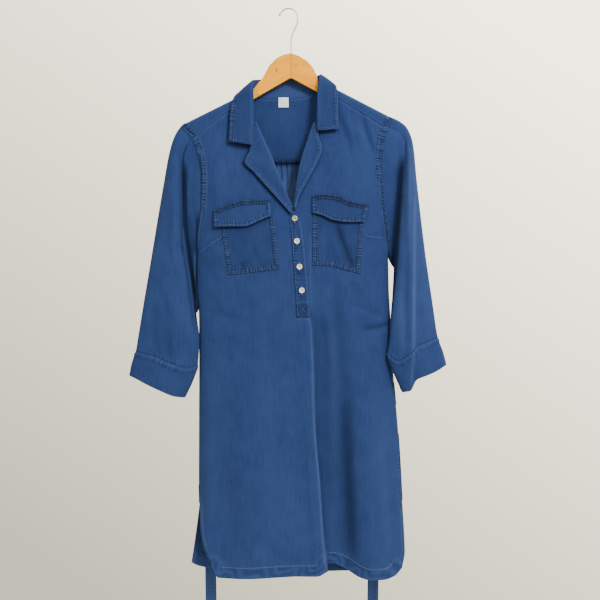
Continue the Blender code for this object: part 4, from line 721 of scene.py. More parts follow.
def crease_sum(creases, x, z):
    """Depth of soft creases at x, z: positive is a trough. Each is a line that bends to one side."""
    total = np.zeros(np.broadcast(x, z).shape)
    for x0, z0, x1, z1, bend, width, lean, start, middle, end in creases:
        t, length, aside = beside_line(x, z, x0, z0, x1, z1)
        c = np.clip(t, 0.0, 1.0)
        aside = aside - 4 * bend * c * (1 - c)
        past = (t - c) * length
        reach = width * np.where(aside > 0, 1 + lean, 1 - lean)
        depth = start * (1 - c) * (1 - 2 * c) + middle * 4 * c * (1 - c) + end * c * (2 * c - 1)
        total += depth * bell(np.hypot(aside / reach, past / (1.6 * width)))
    return total


def streaks(shades, x, z):
    """Sum of soft bands, each between two points."""
    total = np.zeros(np.broadcast(x, z).shape)
    for x0, z0, x1, z1, width, strength in shades:
        t, _, aside = beside_line(x, z, x0, z0, x1, z1)
        total += strength * bell(aside / width) * ease((t + 0.15) / 0.3) * ease((1.15 - t) / 0.3)
    return total


def ripple(x, z, size, seed):
    """Smooth unevenness between about -1 and 1, with swells of about the given size."""
    chance = np.random.RandomState(seed)
    total = 0.0
    for _ in range(7):
        angle = chance.uniform(0, 2 * math.pi)
        pitch = size * chance.uniform(0.7, 1.6)
        phase = chance.uniform(0, 2 * math.pi)
        total = total + np.sin((x * math.cos(angle) + z * math.sin(angle)) * 2 * math.pi / pitch + phase)
    return total / 3.2


def beads(run, pitch, seed):
    """Uneven puckers along a seam, between 0 and 1."""
    chance = np.random.RandomState(seed)
    a, b, c = chance.uniform(0, 2 * math.pi, 3)
    k = 2 * math.pi / pitch
    wave = np.sin(k * run + a + 1.3 * np.sin(k * run * 0.31 + b)) * (0.7 + 0.3 * np.sin(k * run * 0.173 + c))
    return 0.5 + 0.5 * wave


def rope(away, width, low, high, run, pitch, seed):
    """Height of a puckered ridge that is away from a point and beaded along its run."""
    return bell(away / width) * (low + high * beads(run, pitch, seed))


def near_line(flat, line):
    """Signed distance of places in x and z to a line, and the run along it to the nearest of its points."""
    line = np.asarray(line, dtype=float)
    best = np.full(flat.shape[:-1], 1e9)
    signed = np.zeros_like(best)
    run = np.zeros_like(best)
    passed = 0.0
    for a, b in zip(line, line[1:]):
        d = b - a
        length = math.hypot(*d)
        t = np.clip(((flat - a) @ d) / length**2, 0.0, 1.0)
        off = flat - (a + t[..., None] * d)
        distance = np.hypot(off[..., 0], off[..., 1])
        side = np.sign(off[..., 0] * d[1] - off[..., 1] * d[0])
        closer = distance < best
        best = np.where(closer, distance, best)
        signed = np.where(closer, distance * np.where(side == 0, 1, side), signed)
        run = np.where(closer, passed + t * length, run)
        passed += length
    return signed, run


def from_lines(flat, *lines):
    """Distance to the nearest of several lines."""
    return np.minimum.reduce([np.abs(near_line(flat, line)[0]) for line in lines])


def shoulder_wrap(x, z):
    drop = np.clip((shoulder_z(x) - z) / SHOULDER_WRAP, 0.0, 1.0)
    return np.sqrt(1 - (1 - drop) ** 2)


def depth_at(x, z, behind):
    """Distance of the cloth's outer face from the hanger's plane, without the fine creases."""
    left, right = read(EDGES[-1], z), read(EDGES[1], z)
    middle, half_width = (left[..., 0] + right[..., 0]) / 2, (right[..., 0] - left[..., 0]) / 2
    u = np.clip((x - middle) / half_width, -1.0, 1.0)
    edge = mix(left[..., 1], right[..., 1], (u + 1) / 2)
    front, back, power = columns_of(read(DEPTH, z))
    deep = back if behind else front
    lens = np.maximum(1 - np.abs(u) ** ROUNDING, 0.0) ** power
    folds = fold_sum(BACK_FOLDS if behind else FRONT_FOLDS, x, z)
    calm = ease((1 - np.abs(u)) / 0.12) * ease((deep - edge) / 8.0)
    return shoulder_wrap(x, z) * (edge + np.maximum(deep - edge, 0.0) * lens) - folds * calm


def fine_depth(x, z, behind):
    """The same with the cloth's own soft creases and unevenness."""
    creases = BACK_CREASES if behind else FRONT_CREASES
    seed = 20 if behind else 10
    uneven = 0.8 * ripple(x, z * 0.6, 120.0, seed) + 0.35 * ripple(x, z * 0.8, 46.0, seed + 1)
    calm = shoulder_wrap(x, z) * ease((shoulder_z(x) - z) / 30.0)
    return depth_at(x, z, behind) - crease_sum(creases, x, z) - uneven * calm


def front_y(x, z):
    return -fine_depth(x, z, False)


def back_y(x, z):
    return fine_depth(x, z, True)


CENTRE_LINE = tuple((row[3], row[2]) for row in FRONT_ROWS[NECK_ROWS:])


def centre_x(z):
    return np.where(z < VENT_TOP, read(SKIRT_CENTRE, z)[..., 0], read(CENTRE_LINE, z)[..., 0])


def fold_step(x, z):
    """How far the right side's cloth lies back beside the fold under the placket."""
    return read(FOLD_STEP, z)[..., 0] * np.exp(-np.maximum(x - centre_x(z), 0.0) / FOLD_REACH)


def side_y(side, x, z):
    """The front's y on the left or right of the fold."""
    return front_y(x, z) + fold_step(x, z) if side > 0 else front_y(x, z)


def edge_turn(side, z):
    return ease((UNDERARM_Z[side] + 30.0 - z) / 28.0) * math.pi / 2


def edge_y(side, z):
    half = read(EDGES[side], z)[..., 1]
    near_underarm = bell((z - UNDERARM_Z[side]) / 30.0)
    return np.maximum(half - LIP * np.sin(edge_turn(side, z)), (1 + 2 * near_underarm) * SEAM_GAP / 2)


def lip_x(side, x, z):
    """x of the strip past an edge, which runs on under the sleeve's head."""
    return x + side * (LIP + TUCK * ease((z - UNDERARM_Z[side]) / 12.0)) * np.cos(edge_turn(side, z))


# ---------------------------------------------------------------- meshes

def points(x, y, z):
    x, y, z = np.broadcast_arrays(x, y, z)
    return np.stack([x, y, z], axis=-1).astype(float)


def flat_of(grid):
    return grid[..., [0, 2]]


def build_mesh(name, grid, closed, seam, wear_and_painted_light, inner):
    """Mesh over a grid of points; points that aren't numbers leave holes."""
    rows, columns = grid.shape[:2]
    real = ~np.isnan(grid[..., 0])
    number = np.full((rows, columns), -1)
    number[real] = np.arange(real.sum())
    after = np.roll(number, -1, axis=1)
    quads = np.stack([number[:-1], number[1:], after[1:], after[:-1]], axis=-1)
    if not closed:
        quads = quads[:, :-1]
    quads = quads.reshape(-1, 4)
    quads = quads[(quads >= 0).all(axis=1)]
    mesh = bpy.data.meshes.new(name)
    mesh.from_pydata((grid[real] * MM).tolist(), [], quads.tolist())
    layers = (("seam", seam, "FLOAT_VECTOR"), ("wear_and_painted_light", wear_and_painted_light, "FLOAT"), ("inner", inner, "FLOAT"))
    for key, values, kind in layers:
        layer = mesh.attributes.new(key, kind, "POINT")
        flat = np.zeros((int(real.sum()), 3 if kind == "FLOAT_VECTOR" else 1))
        if values is not None:
            flat[:] = np.broadcast_to(values, grid.shape[:2] + flat.shape[1:])[real]
        layer.data.foreach_set("vector" if kind == "FLOAT_VECTOR" else "value", flat.ravel())
    mesh.shade_smooth()
    return mesh


def add_object(name, mesh, material, slot, *nodes):
    obj = bpy.data.objects.new(name, mesh)
    bpy.context.scene.collection.objects.link(obj)
    mesh.materials.append(material)
    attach(obj, "root")
    if nodes:
        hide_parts(*nodes)
    return obj


SHELLS = {}        # each shell's mesh, for the sewing to lie on
SEAM_GRIDS = {}    # grids for the sewing to lie on, with distances from an edge and ways out


def cloth(node, grid, seam=None, wear_and_painted_light=None, inner=None, closed=False, turned=False, material=None):
    """Thin shell of cloth inside a grid of points, with the wall that CUTS gives, that hides the solid's
    part.
    """
    wall, flat, area, held, rests_on = CUTS[node]
    wear_and_painted_light, inner = (None if values is None else np.asarray(values)[..., None] for values in (wear_and_painted_light, inner))
    if turned:
        grid, seam, wear_and_painted_light, inner = (None if a is None else a[:, ::-1] for a in (grid, seam, wear_and_painted_light, inner))
    name = node + "_cloth"
    mesh = build_mesh(name, grid, closed, seam, wear_and_painted_light, inner)
    obj = add_object(name, mesh, material or CHAMBRAY, "dress_cloth", node)
    shell = obj.modifiers.new("wall", "SOLIDIFY")
    shell.thickness = wall * MM
    shell.offset = -1.0
    SHELLS[node] = mesh
    return obj


def seam_values(distance, run, strength):
    return np.stack(np.broadcast_arrays(distance, run, strength), axis=-1)


def seam_field(grid, lines, mitre=6.0):
    """Distance to the nearest seam line, run along it and its strength, as the shader reads them.

    A line has its points, its strength and how far to one side its middle lies. The strength fades out
    with distance, and where two lines are equally near.
    """
    flat = flat_of(grid)
    best, second = np.full(grid.shape[:2], 99.0), np.full(grid.shape[:2], 99.0)
    run, strength = np.zeros(grid.shape[:2]), np.zeros(grid.shape[:2])
    start = 0.0
    for line, force, shift in lines:
        signed, along_line = near_line(flat, line)
        away = np.abs(signed - shift)
        closer = away < best
        second = np.where(closer, best, np.minimum(second, away))
        best = np.where(closer, away, best)
        run = np.where(closer, along_line + start, run)
        strength = np.where(closer, force, strength)
        start += 137.0
    strength = strength * ease((SEAM_REACH - best) / 4.0) * ease((second - best) / mitre)
    return np.nan_to_num(seam_values(best, run, strength))


def raise_seams(grid, seam, outward):
    """Lifts the cloth along its seams into a low puckered ridge."""
    distance, run, strength = columns_of(seam)
    lifted = grid.copy()
    lifted[..., 1] += outward * strength * rope(distance, 4.5, 0.55, 0.9, run, 11.0, 3)
    return lifted


# ---------------------------------------------------------------- front

def warped(count, pull):
    """Shares from 0 to 1 that stand closer together at both ends."""
    u = np.linspace(0.0, 1.0, count)
    return mix(u, ease(u), pull)


def steps(*stretches):
    """Even steps through stretches that follow one another: start, stop and number of points of each."""
    runs = [np.linspace(*stretch) for stretch in stretches]
    return np.concatenate([run[:-1] for run in runs[:-1]] + runs[-1:])


def catmull(knots, per):
    """Points on a smooth line through knots given on the second axis."""
    ends = np.concatenate([knots[:, :1], knots, knots[:, -1:]], axis=1)
    out = []
    for i in range(1, ends.shape[1] - 2):
        a, b, c, d = (ends[:, i + k] for k in (-1, 0, 1, 2))
        for j in range(per):
            t = j / per
            bend = (2 * a - 5 * b + 4 * c - d) * t**2 + (3 * b - a - 3 * c + d) * t**3
            out.append(0.5 * (2 * b + (c - a) * t + bend))
    out.append(ends[:, -2])
    return np.stack(out, axis=1)


def pleat(x, z, front, step, amount):
    """Columns of the fold under the placket, from the left side's edge back to the right side."""
    columns = []
    for under, past, opened, behind, rise in PLEAT:
        column_x = x - under * PLEAT_UNDER * amount + past + opened * (1 - amount)
        columns.append(points(column_x, front + step * behind, z + rise * amount))
    return np.stack(columns, axis=1)


def even_rows(count):
    """Row numbers of FRONT_ROWS whose middle heights are evenly spaced."""
    t = np.linspace(0.0, FRONT_ROWS[-1][0], 800)
    table = read(FRONT_ROWS, t)
    z = (table[:, 0] + table[:, 2]) / 2
    return np.interp(np.linspace(-z[0], -z[-1], count), -z, t)


def chest_side(side, edge_z, neck_x, neck_z):
    """One side of the chest, from its armhole edge to the neck or the fold."""
    outer_x, shares = edge_x(side, edge_z), warped(FRONT_COLUMNS[side], 0.3)
    x = mix(outer_x[:, None], neck_x[:, None], shares)
    z = mix(edge_z[:, None], neck_z[:, None], shares)
    lip = points(lip_x(side, outer_x, edge_z), -edge_y(side, edge_z), edge_z)[:, None]
    return np.concatenate([lip, points(x, side_y(side, x, z), z)], axis=1)


def join_centre(left, middle, right, joined=None):
    knots = np.concatenate([left[:, -1:], middle, right[:, -1:]], axis=1)
    fine = catmull(knots, 2)[:, 1:-1]
    if joined is not None:
        fine[~joined] = np.nan
    return np.concatenate([left, fine, right[:, ::-1]], axis=1)


def front_grid():
    t = even_rows(205)
    left_z, left_neck_x, left_neck_z, right_neck_x, right_neck_z, right_z = columns_of(read(FRONT_ROWS, t))
    step = read(FOLD_STEP, left_neck_z)[:, 0]
    amount = ease((step - PLEAT_OPENS) / PLEAT_GROWS)
    joined = t >= NECK_ROWS
    right_neck_x = np.where(joined, left_neck_x + mix(6.0, 1.0, amount), right_neck_x)
    left = chest_side(-1, left_z, left_neck_x, left_neck_z)
    right = chest_side(1, right_z, right_neck_x, right_neck_z)
    shut = pleat(left_neck_x, left_neck_z, left[:, -1, 1], step, amount)
    flat_x = mix(left_neck_x[:, None], right_neck_x[:, None], (np.arange(5) + 1) / 6)
    flat = points(flat_x, front_y(flat_x, left_neck_z[:, None]), left_neck_z[:, None])
    middle = mix(flat, shut, amount[:, None, None])
    return np.concatenate([join_centre(left, middle, right, joined), front_skirt()[1:]], axis=0)


def front_skirt():
    """The front below the side seams' ends, down to its rounded hem."""
    share = steps((0.0, 0.8, 28), (0.8, 1.0, 14))
    fold_z = mix(VENT_TOP, FRONT_HEM_LEFT[-1][2], share)
    fold_x = read(SKIRT_CENTRE, fold_z)[:, 0]
    sides = []
    for side, corner, table, row in (
        (-1, FRONT_CORNER_LEFT, FRONT_HEM_LEFT, 0), (1, FRONT_CORNER_RIGHT, FRONT_HEM_RIGHT, -1),
    ):
        corner_z = mix(VENT_TOP, table[row][2], share)
        corner_x = read(corner, corner_z)[:, 0]
        s = warped(FRONT_COLUMNS[side], 0.3)
        hem = read(table, s if side < 0 else 1 - s)
        target_x = fold_x if side < 0 else fold_x + 1.0
        x = mix(mix(corner_x[:, None], target_x[:, None], s), hem[:, 0], share[:, None] ** 3)
        z = mix(VENT_TOP, hem[:, 1], share[:, None])
        lip = points(corner_x, front_y(corner_x, corner_z) + LIP, corner_z)[:, None]
        sides.append(np.concatenate([lip, points(x, side_y(side, x, z), z)], axis=1))
    left, right = sides
    last = left[:, -1]
    middle = pleat(last[:, 0], last[:, 2], last[:, 1], read(FOLD_STEP, fold_z)[:, 0], np.ones(len(share)))
    return join_centre(left, middle, right)


def edge_line(side, top, bottom):
    z = np.linspace(top, bottom, 40)
    return np.stack([edge_x(side, z), z], axis=1)


def hem_line(table):
    return read(table, np.linspace(table[0][0], table[-1][0], 60))


def inset_hem(table):
    """The hem's stitch line, which runs evenly above the edge."""
    line = hem_line(table)
    along_edge = np.gradient(line, axis=0)
    along_edge /= np.linalg.norm(along_edge, axis=1, keepdims=True)
    return line + np.stack([-along_edge[:, 1], along_edge[:, 0]], axis=1) * HEM_DEEP


def strap_seam(side):
    """The forward shoulder seam, from the armhole to the neck."""
    row, corner_z = FRONT_ROWS[0], YOKE_CORNER_Z[side]
    return [(float(edge_x(side, corner_z)), corner_z), (row[2], row[3]) if side < 0 else (row[4], row[5])]


def make_front():
    grid = front_grid()
    lines = [(edge_line(side, EDGES[side][0][0], UNDERARM_Z[side]), 1.0, 1.5 * side) for side in (-1, 1)]
    lines += [
        (edge_line(1, UNDERARM_Z[1], VENT_TOP), 0.35, 0.0),
        (inset_hem(FRONT_HEM_LEFT), 0.2, 0.0), (inset_hem(FRONT_HEM_RIGHT), 0.36, 0.0),
    ]
    lines += [(strap_seam(side), 0.12, 0.0) for side in (-1, 1)] + [(dart, 0.3, 0.0) for dart in DARTS]
    seam = seam_field(grid, lines)
    x, z = grid[..., 0], grid[..., 2]
    beaded = mix(0.15, 1.0, ease((z - np.where(x < 0, BEADS_END[-1], BEADS_END[1])) / 16.0))
    seam[..., 2] *= np.where((np.abs(x) > ARMHOLE_ZONE[0]) & (z > ARMHOLE_ZONE[1]), beaded, 1.0)
    weak = mix(1.0, 0.35, bell((z - BEADS_WEAK[0]) / BEADS_WEAK[1]))
    seam[..., 2] *= np.where(z > BEADS_WEAK_ABOVE, weak, 1.0)
    cloth("front", raise_seams(grid, seam, -1), seam, front_wear_and_painted_light(grid))


def collar_edge(first, last):
    return [(row[7], row[9]) for row in COLLAR if first <= row[0] <= last]


def collar_end(row):
    return [(row[7], row[9]), (row[4], row[6])]


FRONT_SHADOWS = (
    # edge that covers the front, how far the dark line lies from it in x and z, reach, strength
    ([row[3:5] for row in LAPEL_LEFT[2:]], (-2.0, -2.6), 3.6, 1.0),
    ([row[3:5] for row in LAPEL_RIGHT[3:]], (1.0, -1.0), 2.2, 0.5),
    (collar_end(COLLAR[0]), (-1.5, -2.5), 3.2, 1.0),
    (collar_end(COLLAR[-1]), (-0.5, -2.5), 3.2, 0.9),
    (collar_edge(0.0, 0.24), (-2.0, 0.0), 2.4, 0.7),
    (collar_edge(0.76, 1.0), (1.0, 0.0), 1.8, 0.5),
    (FLAPS[0][2], (-1.5, -2.4), 3.0, 0.6),
    (FLAPS[1][2], (-1.5, -2.4), 3.0, 0.6),
)


def front_wear_and_painted_light(grid):
    """Where the front is rubbed pale or given painted light (above zero), or darkened with painted shade
    (below).
    """
    flat = flat_of(grid)
    x, z = flat[..., 0], flat[..., 1]
    fold = [(float(centre_x(height)), height) for height in np.arange(FOLD_TOP, FOLD_FOOT, -12.0)]
    shown = ease((FOLD_TOP - z) / 24.0)
    wear_and_painted_light = 0.85 * bell(from_lines(flat, fold) / 2.4) * shown
    # painted shade in the recess right of the fold
    wear_and_painted_light -= 0.24 * shown * (x > centre_x(z)) * np.exp(-np.maximum(x - centre_x(z), 0.0) / 26.0)
    wear_and_painted_light += streaks(FRONT_SHADES, x, z)
    hem = from_lines(flat, hem_line(FRONT_HEM_LEFT), hem_line(FRONT_HEM_RIGHT))
    hem_band = ease((HEM_DEEP - hem) / 3.0)
    wear_and_painted_light += 0.35 * bell(hem / 2.6) + 0.02 * hem_band + 0.25 * bell((hem - HEM_DEEP) / 2.4)
    # painted light and shade of diagonal wrinkles in the hem band
    wear_and_painted_light += 0.26 * hem_band * np.sin(x / 6.5 + hem / 4.5 + 3.0 * ripple(x, z, 40.0, 61))
    arm_foot = edge_line(-1, BEADS_END[-1] - 4.0, UNDERARM_Z[-1])
    rubbed = ((arm_foot, 2.4, 0.5), (strap_seam(-1), 3.0, 0.8), (strap_seam(1), 3.0, 0.8))
    for line, width, strength in rubbed:
        wear_and_painted_light += strength * bell(from_lines(flat, line) / width)
    # painted shadow under the edges of the lapels, collar and flaps
    shade = np.zeros(x.shape)
    for edge, shift, reach, strength in FRONT_SHADOWS:
        shade = np.maximum(shade, strength * bell(from_lines(flat, np.array(edge) + shift) / reach))
    return wear_and_painted_light - UNDER_EDGE_SHADOW * shade


# ---------------------------------------------------------------- back and yoke

BACK_SEAM_ENDS = [(float(edge_x(side, BACK_SEAM[side])), BACK_SEAM[side]) for side in (-1, 1)]
BACK_HEM_LINE = [(s, mix(BACK_EDGE_LEFT[-1][1], BACK_EDGE_RIGHT[-1][1], s), z) for s, z in BACK_HEM]


def gather(x, t):
    """Uneven ridges of the gathers under the back yoke, dying away downwards."""
    share = (x - GATHER_FROM) / (GATHER_TO - GATHER_FROM)
    inside = ease(share / 0.04) * ease((1 - share) / 0.04)
    wave = np.cos(2 * math.pi * GATHERS * share)
    sharp = np.sign(wave) * np.abs(wave) ** 0.8
    reach = GATHER_FADE * (1 + 0.5 * np.sin(share * 37.0) + 0.3 * np.sin(share * 91.0))
    fine = 0.9 * np.sin(2 * math.pi * 33 * share + 2 * np.sin(share * 23))
    return inside * (GATHER_SHOW * GATHER_DEPTH * sharp * (1 - ease(t / reach)) + fine * (1 - ease(t / 0.1)))


def back_grid():
    (seam_left, _), (seam_right, _) = BACK_SEAM_ENDS
    seam_width = seam_right - seam_left
    start, stop = (GATHER_FROM - seam_left) / seam_width, (GATHER_TO - seam_left) / seam_width
    shares = np.concatenate([
        start * warped(22, 0.4)[:-1], mix(start, stop, np.linspace(0, 1, 8 * GATHERS + 1)),
        1 - (1 - stop) * warped(24, 0.4)[:-1][::-1],
    ])
    t = steps((0.0, 0.06, 14), (0.06, 1.0, 150))
    left_z, right_z = mix(BACK_SEAM[-1], VENT_TOP, t), mix(BACK_SEAM[1], VENT_TOP, t)
    left_x, right_x = edge_x(-1, left_z), edge_x(1, right_z)
    x = mix(left_x[:, None], right_x[:, None], shares)
    z = mix(left_z[:, None], right_z[:, None], shares)
    y = back_y(x, z) + gather(seam_left + shares * seam_width, t[:, None])
    lips = [
        points(lip_x(side, lip, height), edge_y(side, height), height)[:, None]
        for side, lip, height in ((-1, left_x, left_z), (1, right_x, right_z))
    ]
    body = np.concatenate([lips[0], points(x, y, z), lips[1]], axis=1)
    share = steps((0.0, 0.78, 26), (0.78, 1.0, 14))[1:]
    left_z, right_z = mix(VENT_TOP, BACK_HEM[0][1], share), mix(VENT_TOP, BACK_HEM[-1][1], share)
    left_x, right_x = read(BACK_EDGE_LEFT, left_z)[:, 0], read(BACK_EDGE_RIGHT, right_z)[:, 0]
    x = mix(left_x[:, None], right_x[:, None], shares)
    z = mix(VENT_TOP, read(BACK_HEM, shares)[:, 0], share[:, None])
    y = back_y(x, z)
    lips = [
        points(lip, depth - LIP, height)[:, None]
        for lip, depth, height in ((left_x, y[:, 0], left_z), (right_x, y[:, -1], right_z))
    ]
    return np.concatenate([body, np.concatenate([lips[0], points(x, y, z), lips[1]], axis=1)], axis=0)


def strap_lines(side, share):
    """A shoulder's forward seam and its top line, from the armhole to the neck."""
    seam, shoulder = np.array(strap_seam(side)), np.array(SHOULDER[side][::-1])
    return mix(seam[0], seam[1], share[:, None]), mix(shoulder[0], shoulder[1], share[:, None])


def yoke_grid():
    """Rows from the forward shoulder seams over the shoulders and down to the back seam."""
    strap = warped(26, 0.5)
    neck = mix(0.03, 0.97, warped(40, 0.2))
    front_rows = np.linspace(0, 1, 9)[:-1]
    rows = []
    for side in (-1, 1):
        seam, shoulder = strap_lines(side, strap)
        x, z = mix(seam[None], shoulder[None], front_rows[:, None, None]).transpose(2, 0, 1)
        rows.append(points(x, front_y(x, z), z)[:, ::-side])
    hole = np.full((len(front_rows), len(neck), 3), np.nan)
    front = np.concatenate([rows[0], hole, rows[1]], axis=1)
    tops = np.concatenate([strap_lines(-1, strap)[1], read(NECK_CURVE, neck), strap_lines(1, strap)[1][::-1]])
    share = np.linspace(0, 1, len(tops))
    foot_share = mix(share, ease(share), YOKE_CROWDING)
    foot_x, foot_z = (mix(a, b, foot_share) for a, b in zip(*BACK_SEAM_ENDS))
    t = steps((0.0, 0.1, 8), (0.1, 1.0, 32))[:, None]
    x, z = mix(tops[:, 0], foot_x, t), mix(tops[:, 1], foot_z, t)
    x[1:, 0] = edge_x(-1, z[1:, 0]) - TUCK
    x[1:, -1] = edge_x(1, z[1:, -1]) + TUCK
    lap = points(x[-1:], back_y(x[-1:], z[-1:]) + 1.3, z[-1:] - 6.0)
    return np.concatenate([front, points(x, back_y(x, z), z), lap], axis=0), len(front_rows)


def make_back():
    grid = back_grid()
    lines = [(edge_line(side, BACK_SEAM[side], UNDERARM_Z[side]), 1.0, 1.5 * side) for side in (-1, 1)]
    lines += [(edge_line(side, UNDERARM_Z[side], VENT_TOP), 0.5, 0.0) for side in (-1, 1)]
    seam = seam_field(grid, lines + [(inset_hem(BACK_HEM_LINE), 0.6, 0.0), (BACK_SEAM_ENDS, 1.0, 0.0)])
    flat = flat_of(grid)
    x, z = flat[..., 0], flat[..., 1]
    # painted light on the gathers' inner side that shows in the neck, with a darker band just under the seam
    gathered = ease((x + GATHERS_PALE) / 20.0) * ease((GATHERS_PALE - x) / 20.0)
    low = GATHERS_PALE_TOP - z
    deeper = 0.8 + 0.8 * ease((low - 20.0) / 60.0)
    pale = deeper * ease(low / 14.0) * ease((200.0 - low) / 60.0)
    inner = gathered * (pale - 0.7 * bell((low - 3.0) / 6.0))
    hem = from_lines(flat, hem_line(BACK_HEM_LINE))
    wear_and_painted_light = 0.5 * bell(hem / 2.6) + 0.25 * ease((HEM_DEEP - hem) / 3.0)
    wear_and_painted_light += streaks(BACK_SHADES, x, z) - 0.5 * gathered * bell((low - 5.0) / 6.0)
    cloth("back", raise_seams(grid, seam, 1), seam, wear_and_painted_light, inner, turned=True)


def make_yoke():
    grid, front_rows = yoke_grid()
    lines = [(edge_line(side, YOKE_ARM_TOP[side], BACK_SEAM[side]), 1.0, 1.5 * side) for side in (-1, 1)]
    straps = [strap_seam(side) for side in (-1, 1)]
    seam = seam_field(grid, lines + [(BACK_SEAM_ENDS, 1.0, 3.0)] + [(strap, 0.15, 0.0) for strap in straps])
    flat = flat_of(grid)
    neck = read(NECK_CURVE, np.linspace(0, 1, 40))
    wear_and_painted_light = 0.7 * bell(from_lines(flat, neck) / 1.7)
    for strap in straps:
        wear_and_painted_light += 0.55 * bell(from_lines(flat, strap) / 2.2)
    outward = np.where(np.arange(len(grid)) < front_rows, -1, 1)[:, None]
    outward = np.nan_to_num(outward * shoulder_wrap(grid[..., 0], grid[..., 2]))
    seam_z = mix(BACK_SEAM[-1], BACK_SEAM[1], (flat[..., 0] + 190.0) / 390.0)
    inner = -0.6 * bell((flat[..., 1] - seam_z - 1.0) / 4.0)
    cloth("yoke", raise_seams(grid, seam, outward), seam, np.nan_to_num(wear_and_painted_light), np.nan_to_num(inner))


# ---------------------------------------------------------------- collar and lapels

def edge_ridge(from_edge, run, seed):
    """The puckered ridge beside the free edges of the collar and lapels."""
    return rope(from_edge - EDGE_SEAM, 3.0, 0.3, 0.8, run, 9.0, seed)


def frame_of_collar(share):
    values = read(COLLAR, share)
    seam, roll, edge = values[..., 0:3], values[..., 3:6], values[..., 6:9]
    fall, rise = edge - roll, seam - roll
    shared = (fall * rise).sum(-1, keepdims=True) / (rise * rise).sum(-1, keepdims=True)
    out = fall - shared * rise
    out /= np.linalg.norm(out, axis=-1, keepdims=True)
    return seam, roll, edge, out


def collar_grid():
    share = np.linspace(0, 1, 190)
    seam, roll, edge, out = (a[:, None] for a in frame_of_collar(share))
    k = steps((0, 3, 9), (3, 5, 9), (5, 8, 26))
    stand, leaf, distance = columns_of(read(numbered(COLLAR_SECTION), k / (len(COLLAR_SECTION) - 1)))
    across = mix(mix(seam, roll, stand[:, None]), edge, leaf[:, None])
    width = np.linalg.norm(edge - roll, axis=-1)
    length = run_of(edge[:, 0])[:, None]
    waves = 0.6 * ripple(length, leaf[None] * 40.0, 70.0, 31) * ease(leaf / 0.3)
    from_edge = (1 - leaf) * width
    ends = np.minimum(length, length[-1] - length)
    ridge = edge_ridge(from_edge, length, 32)
    end_ridge = edge_ridge(ends, leaf[None] * width, 33) * (leaf > 0.1)
    curl = 2.5 * ease((leaf - 0.6) / 0.4) * bell(ends / 30.0)
    lift = distance + waves + ridge * 0.8 + end_ridge * 0.8 + curl
    grid = across + out * lift[..., None]
    behind = ease((share - 0.3) / 0.06) * ease((0.7 - share) / 0.06)
    foot = grid[:, 0] + unit(grid[:, 0] - grid[:, 4])
    foot[:, 2] -= 6.0 * behind
    foot[:, 1] = mix(foot[:, 1], back_y(foot[:, 0], foot[:, 2]) + 0.9, behind)
    grid = np.concatenate([foot[:, None], grid[:, 1:]], axis=1)
    near = np.minimum(from_edge, np.where(leaf > 0.1, ends, 99.0))
    run = np.where(from_edge < ends, length, leaf * width)
    apart = np.where(leaf > 0.1, ease(np.abs(from_edge - ends) / 4.0), 1.0)
    force = mix(0.75, 0.35, ease((share - 0.45) / 0.1))[:, None]
    seam = seam_values(np.abs(near - EDGE_SEAM), run, force * apart)
    rolled = bell((leaf - 0.04) / 0.05)[None] * (leaf > 0)[None]
    wear_and_painted_light = 0.95 * bell(near / 1.8) * (leaf > 0.1) + 0.25 * rolled + COLLAR_SHADE
    # the collar's stand gets painted light
    return grid, seam, wear_and_painted_light + 0.7 * ease((1.0 - stand) / 0.3), from_edge, out[:, 0]


def lapel_grid(table, side, rows):
    index = np.linspace(0, table[-1][0], rows)[:, None]
    roll_x, roll_z, outer_x, outer_z = columns_of(read(table, index))
    k = steps((0, 2, 7), (2, len(LAPEL_SECTION) - 1, 20))
    share, height = columns_of(read(numbered(LAPEL_SECTION), k / (len(LAPEL_SECTION) - 1)))
    turn = np.interp(k, [0, 1, 2], [*LAPEL_TURN, 0.0])
    x, z = mix(roll_x, outer_x, share) - side * turn, mix(roll_z, outer_z, share)
    from_edge = (1 - share) * np.hypot(outer_x - roll_x, outer_z - roll_z)
    run = np.cumsum(np.hypot(np.gradient(outer_x[:, 0]), np.gradient(outer_z[:, 0])))[:, None]
    ridge = edge_ridge(from_edge, run, 41 + side)
    wave = 0.9 * ripple(x, z, 48.0, 44 + side) * ease(share / 0.3)
    y = front_y(x, z) - height - CLOTH * np.minimum(k, 1.0) - ridge * 0.8 - wave
    seam = seam_values(np.abs(from_edge - EDGE_SEAM), run, 0.35)
    wear_and_painted_light = 0.95 * bell(from_edge / 1.8) + 0.4 * bell((share - 0.03) / 0.03) + LAPEL_SHADE
    return points(x, y, z), seam, wear_and_painted_light, from_edge


def make_collar():
    grid, seam, wear_and_painted_light, from_edge, out = collar_grid()
    SEAM_GRIDS["collar"] = (grid, from_edge, out)
    cloth("collar", grid, seam, wear_and_painted_light)
    for node, table, side, rows in (
        ("lapel_L", LAPEL_LEFT, -1, 90), ("lapel_R", LAPEL_RIGHT + LAPEL_POINT, 1, 84),
    ):
        grid, seam, wear_and_painted_light, from_edge = lapel_grid(table, side, rows)
        SEAM_GRIDS[node] = (grid, from_edge, None)
        cloth(node, grid, seam, wear_and_painted_light, turned=side < 0)


# ---------------------------------------------------------------- what lies on the front

def along(line, t):
    return read(numbered(line), t)


def laid_grid(upper, lower, columns, rows):
    """Grid on the front between two edges, with the shares down and across at its points."""
    share, t = np.linspace(0, 1, rows)[:, None], np.linspace(0, 1, columns)
    top, foot = along(upper, t), along(lower, t)
    x, z = mix(top[:, 0], foot[:, 0], share), mix(top[:, 1], foot[:, 1], share)
    return points(x, front_y(x, z), z), share, t[None]


def border(upper, lower):
    """The upper edge of a patch, then its left, lower and right edges."""
    t = np.linspace(0, 1, 30)
    top, foot = along(upper, t), along(lower, t)
    return top, (mix(top[0], foot[0], t[:, None]), foot, mix(top[-1], foot[-1], t[:, None]))


def raised(grid, height):
    return points(grid[..., 0], grid[..., 1] - height, grid[..., 2])


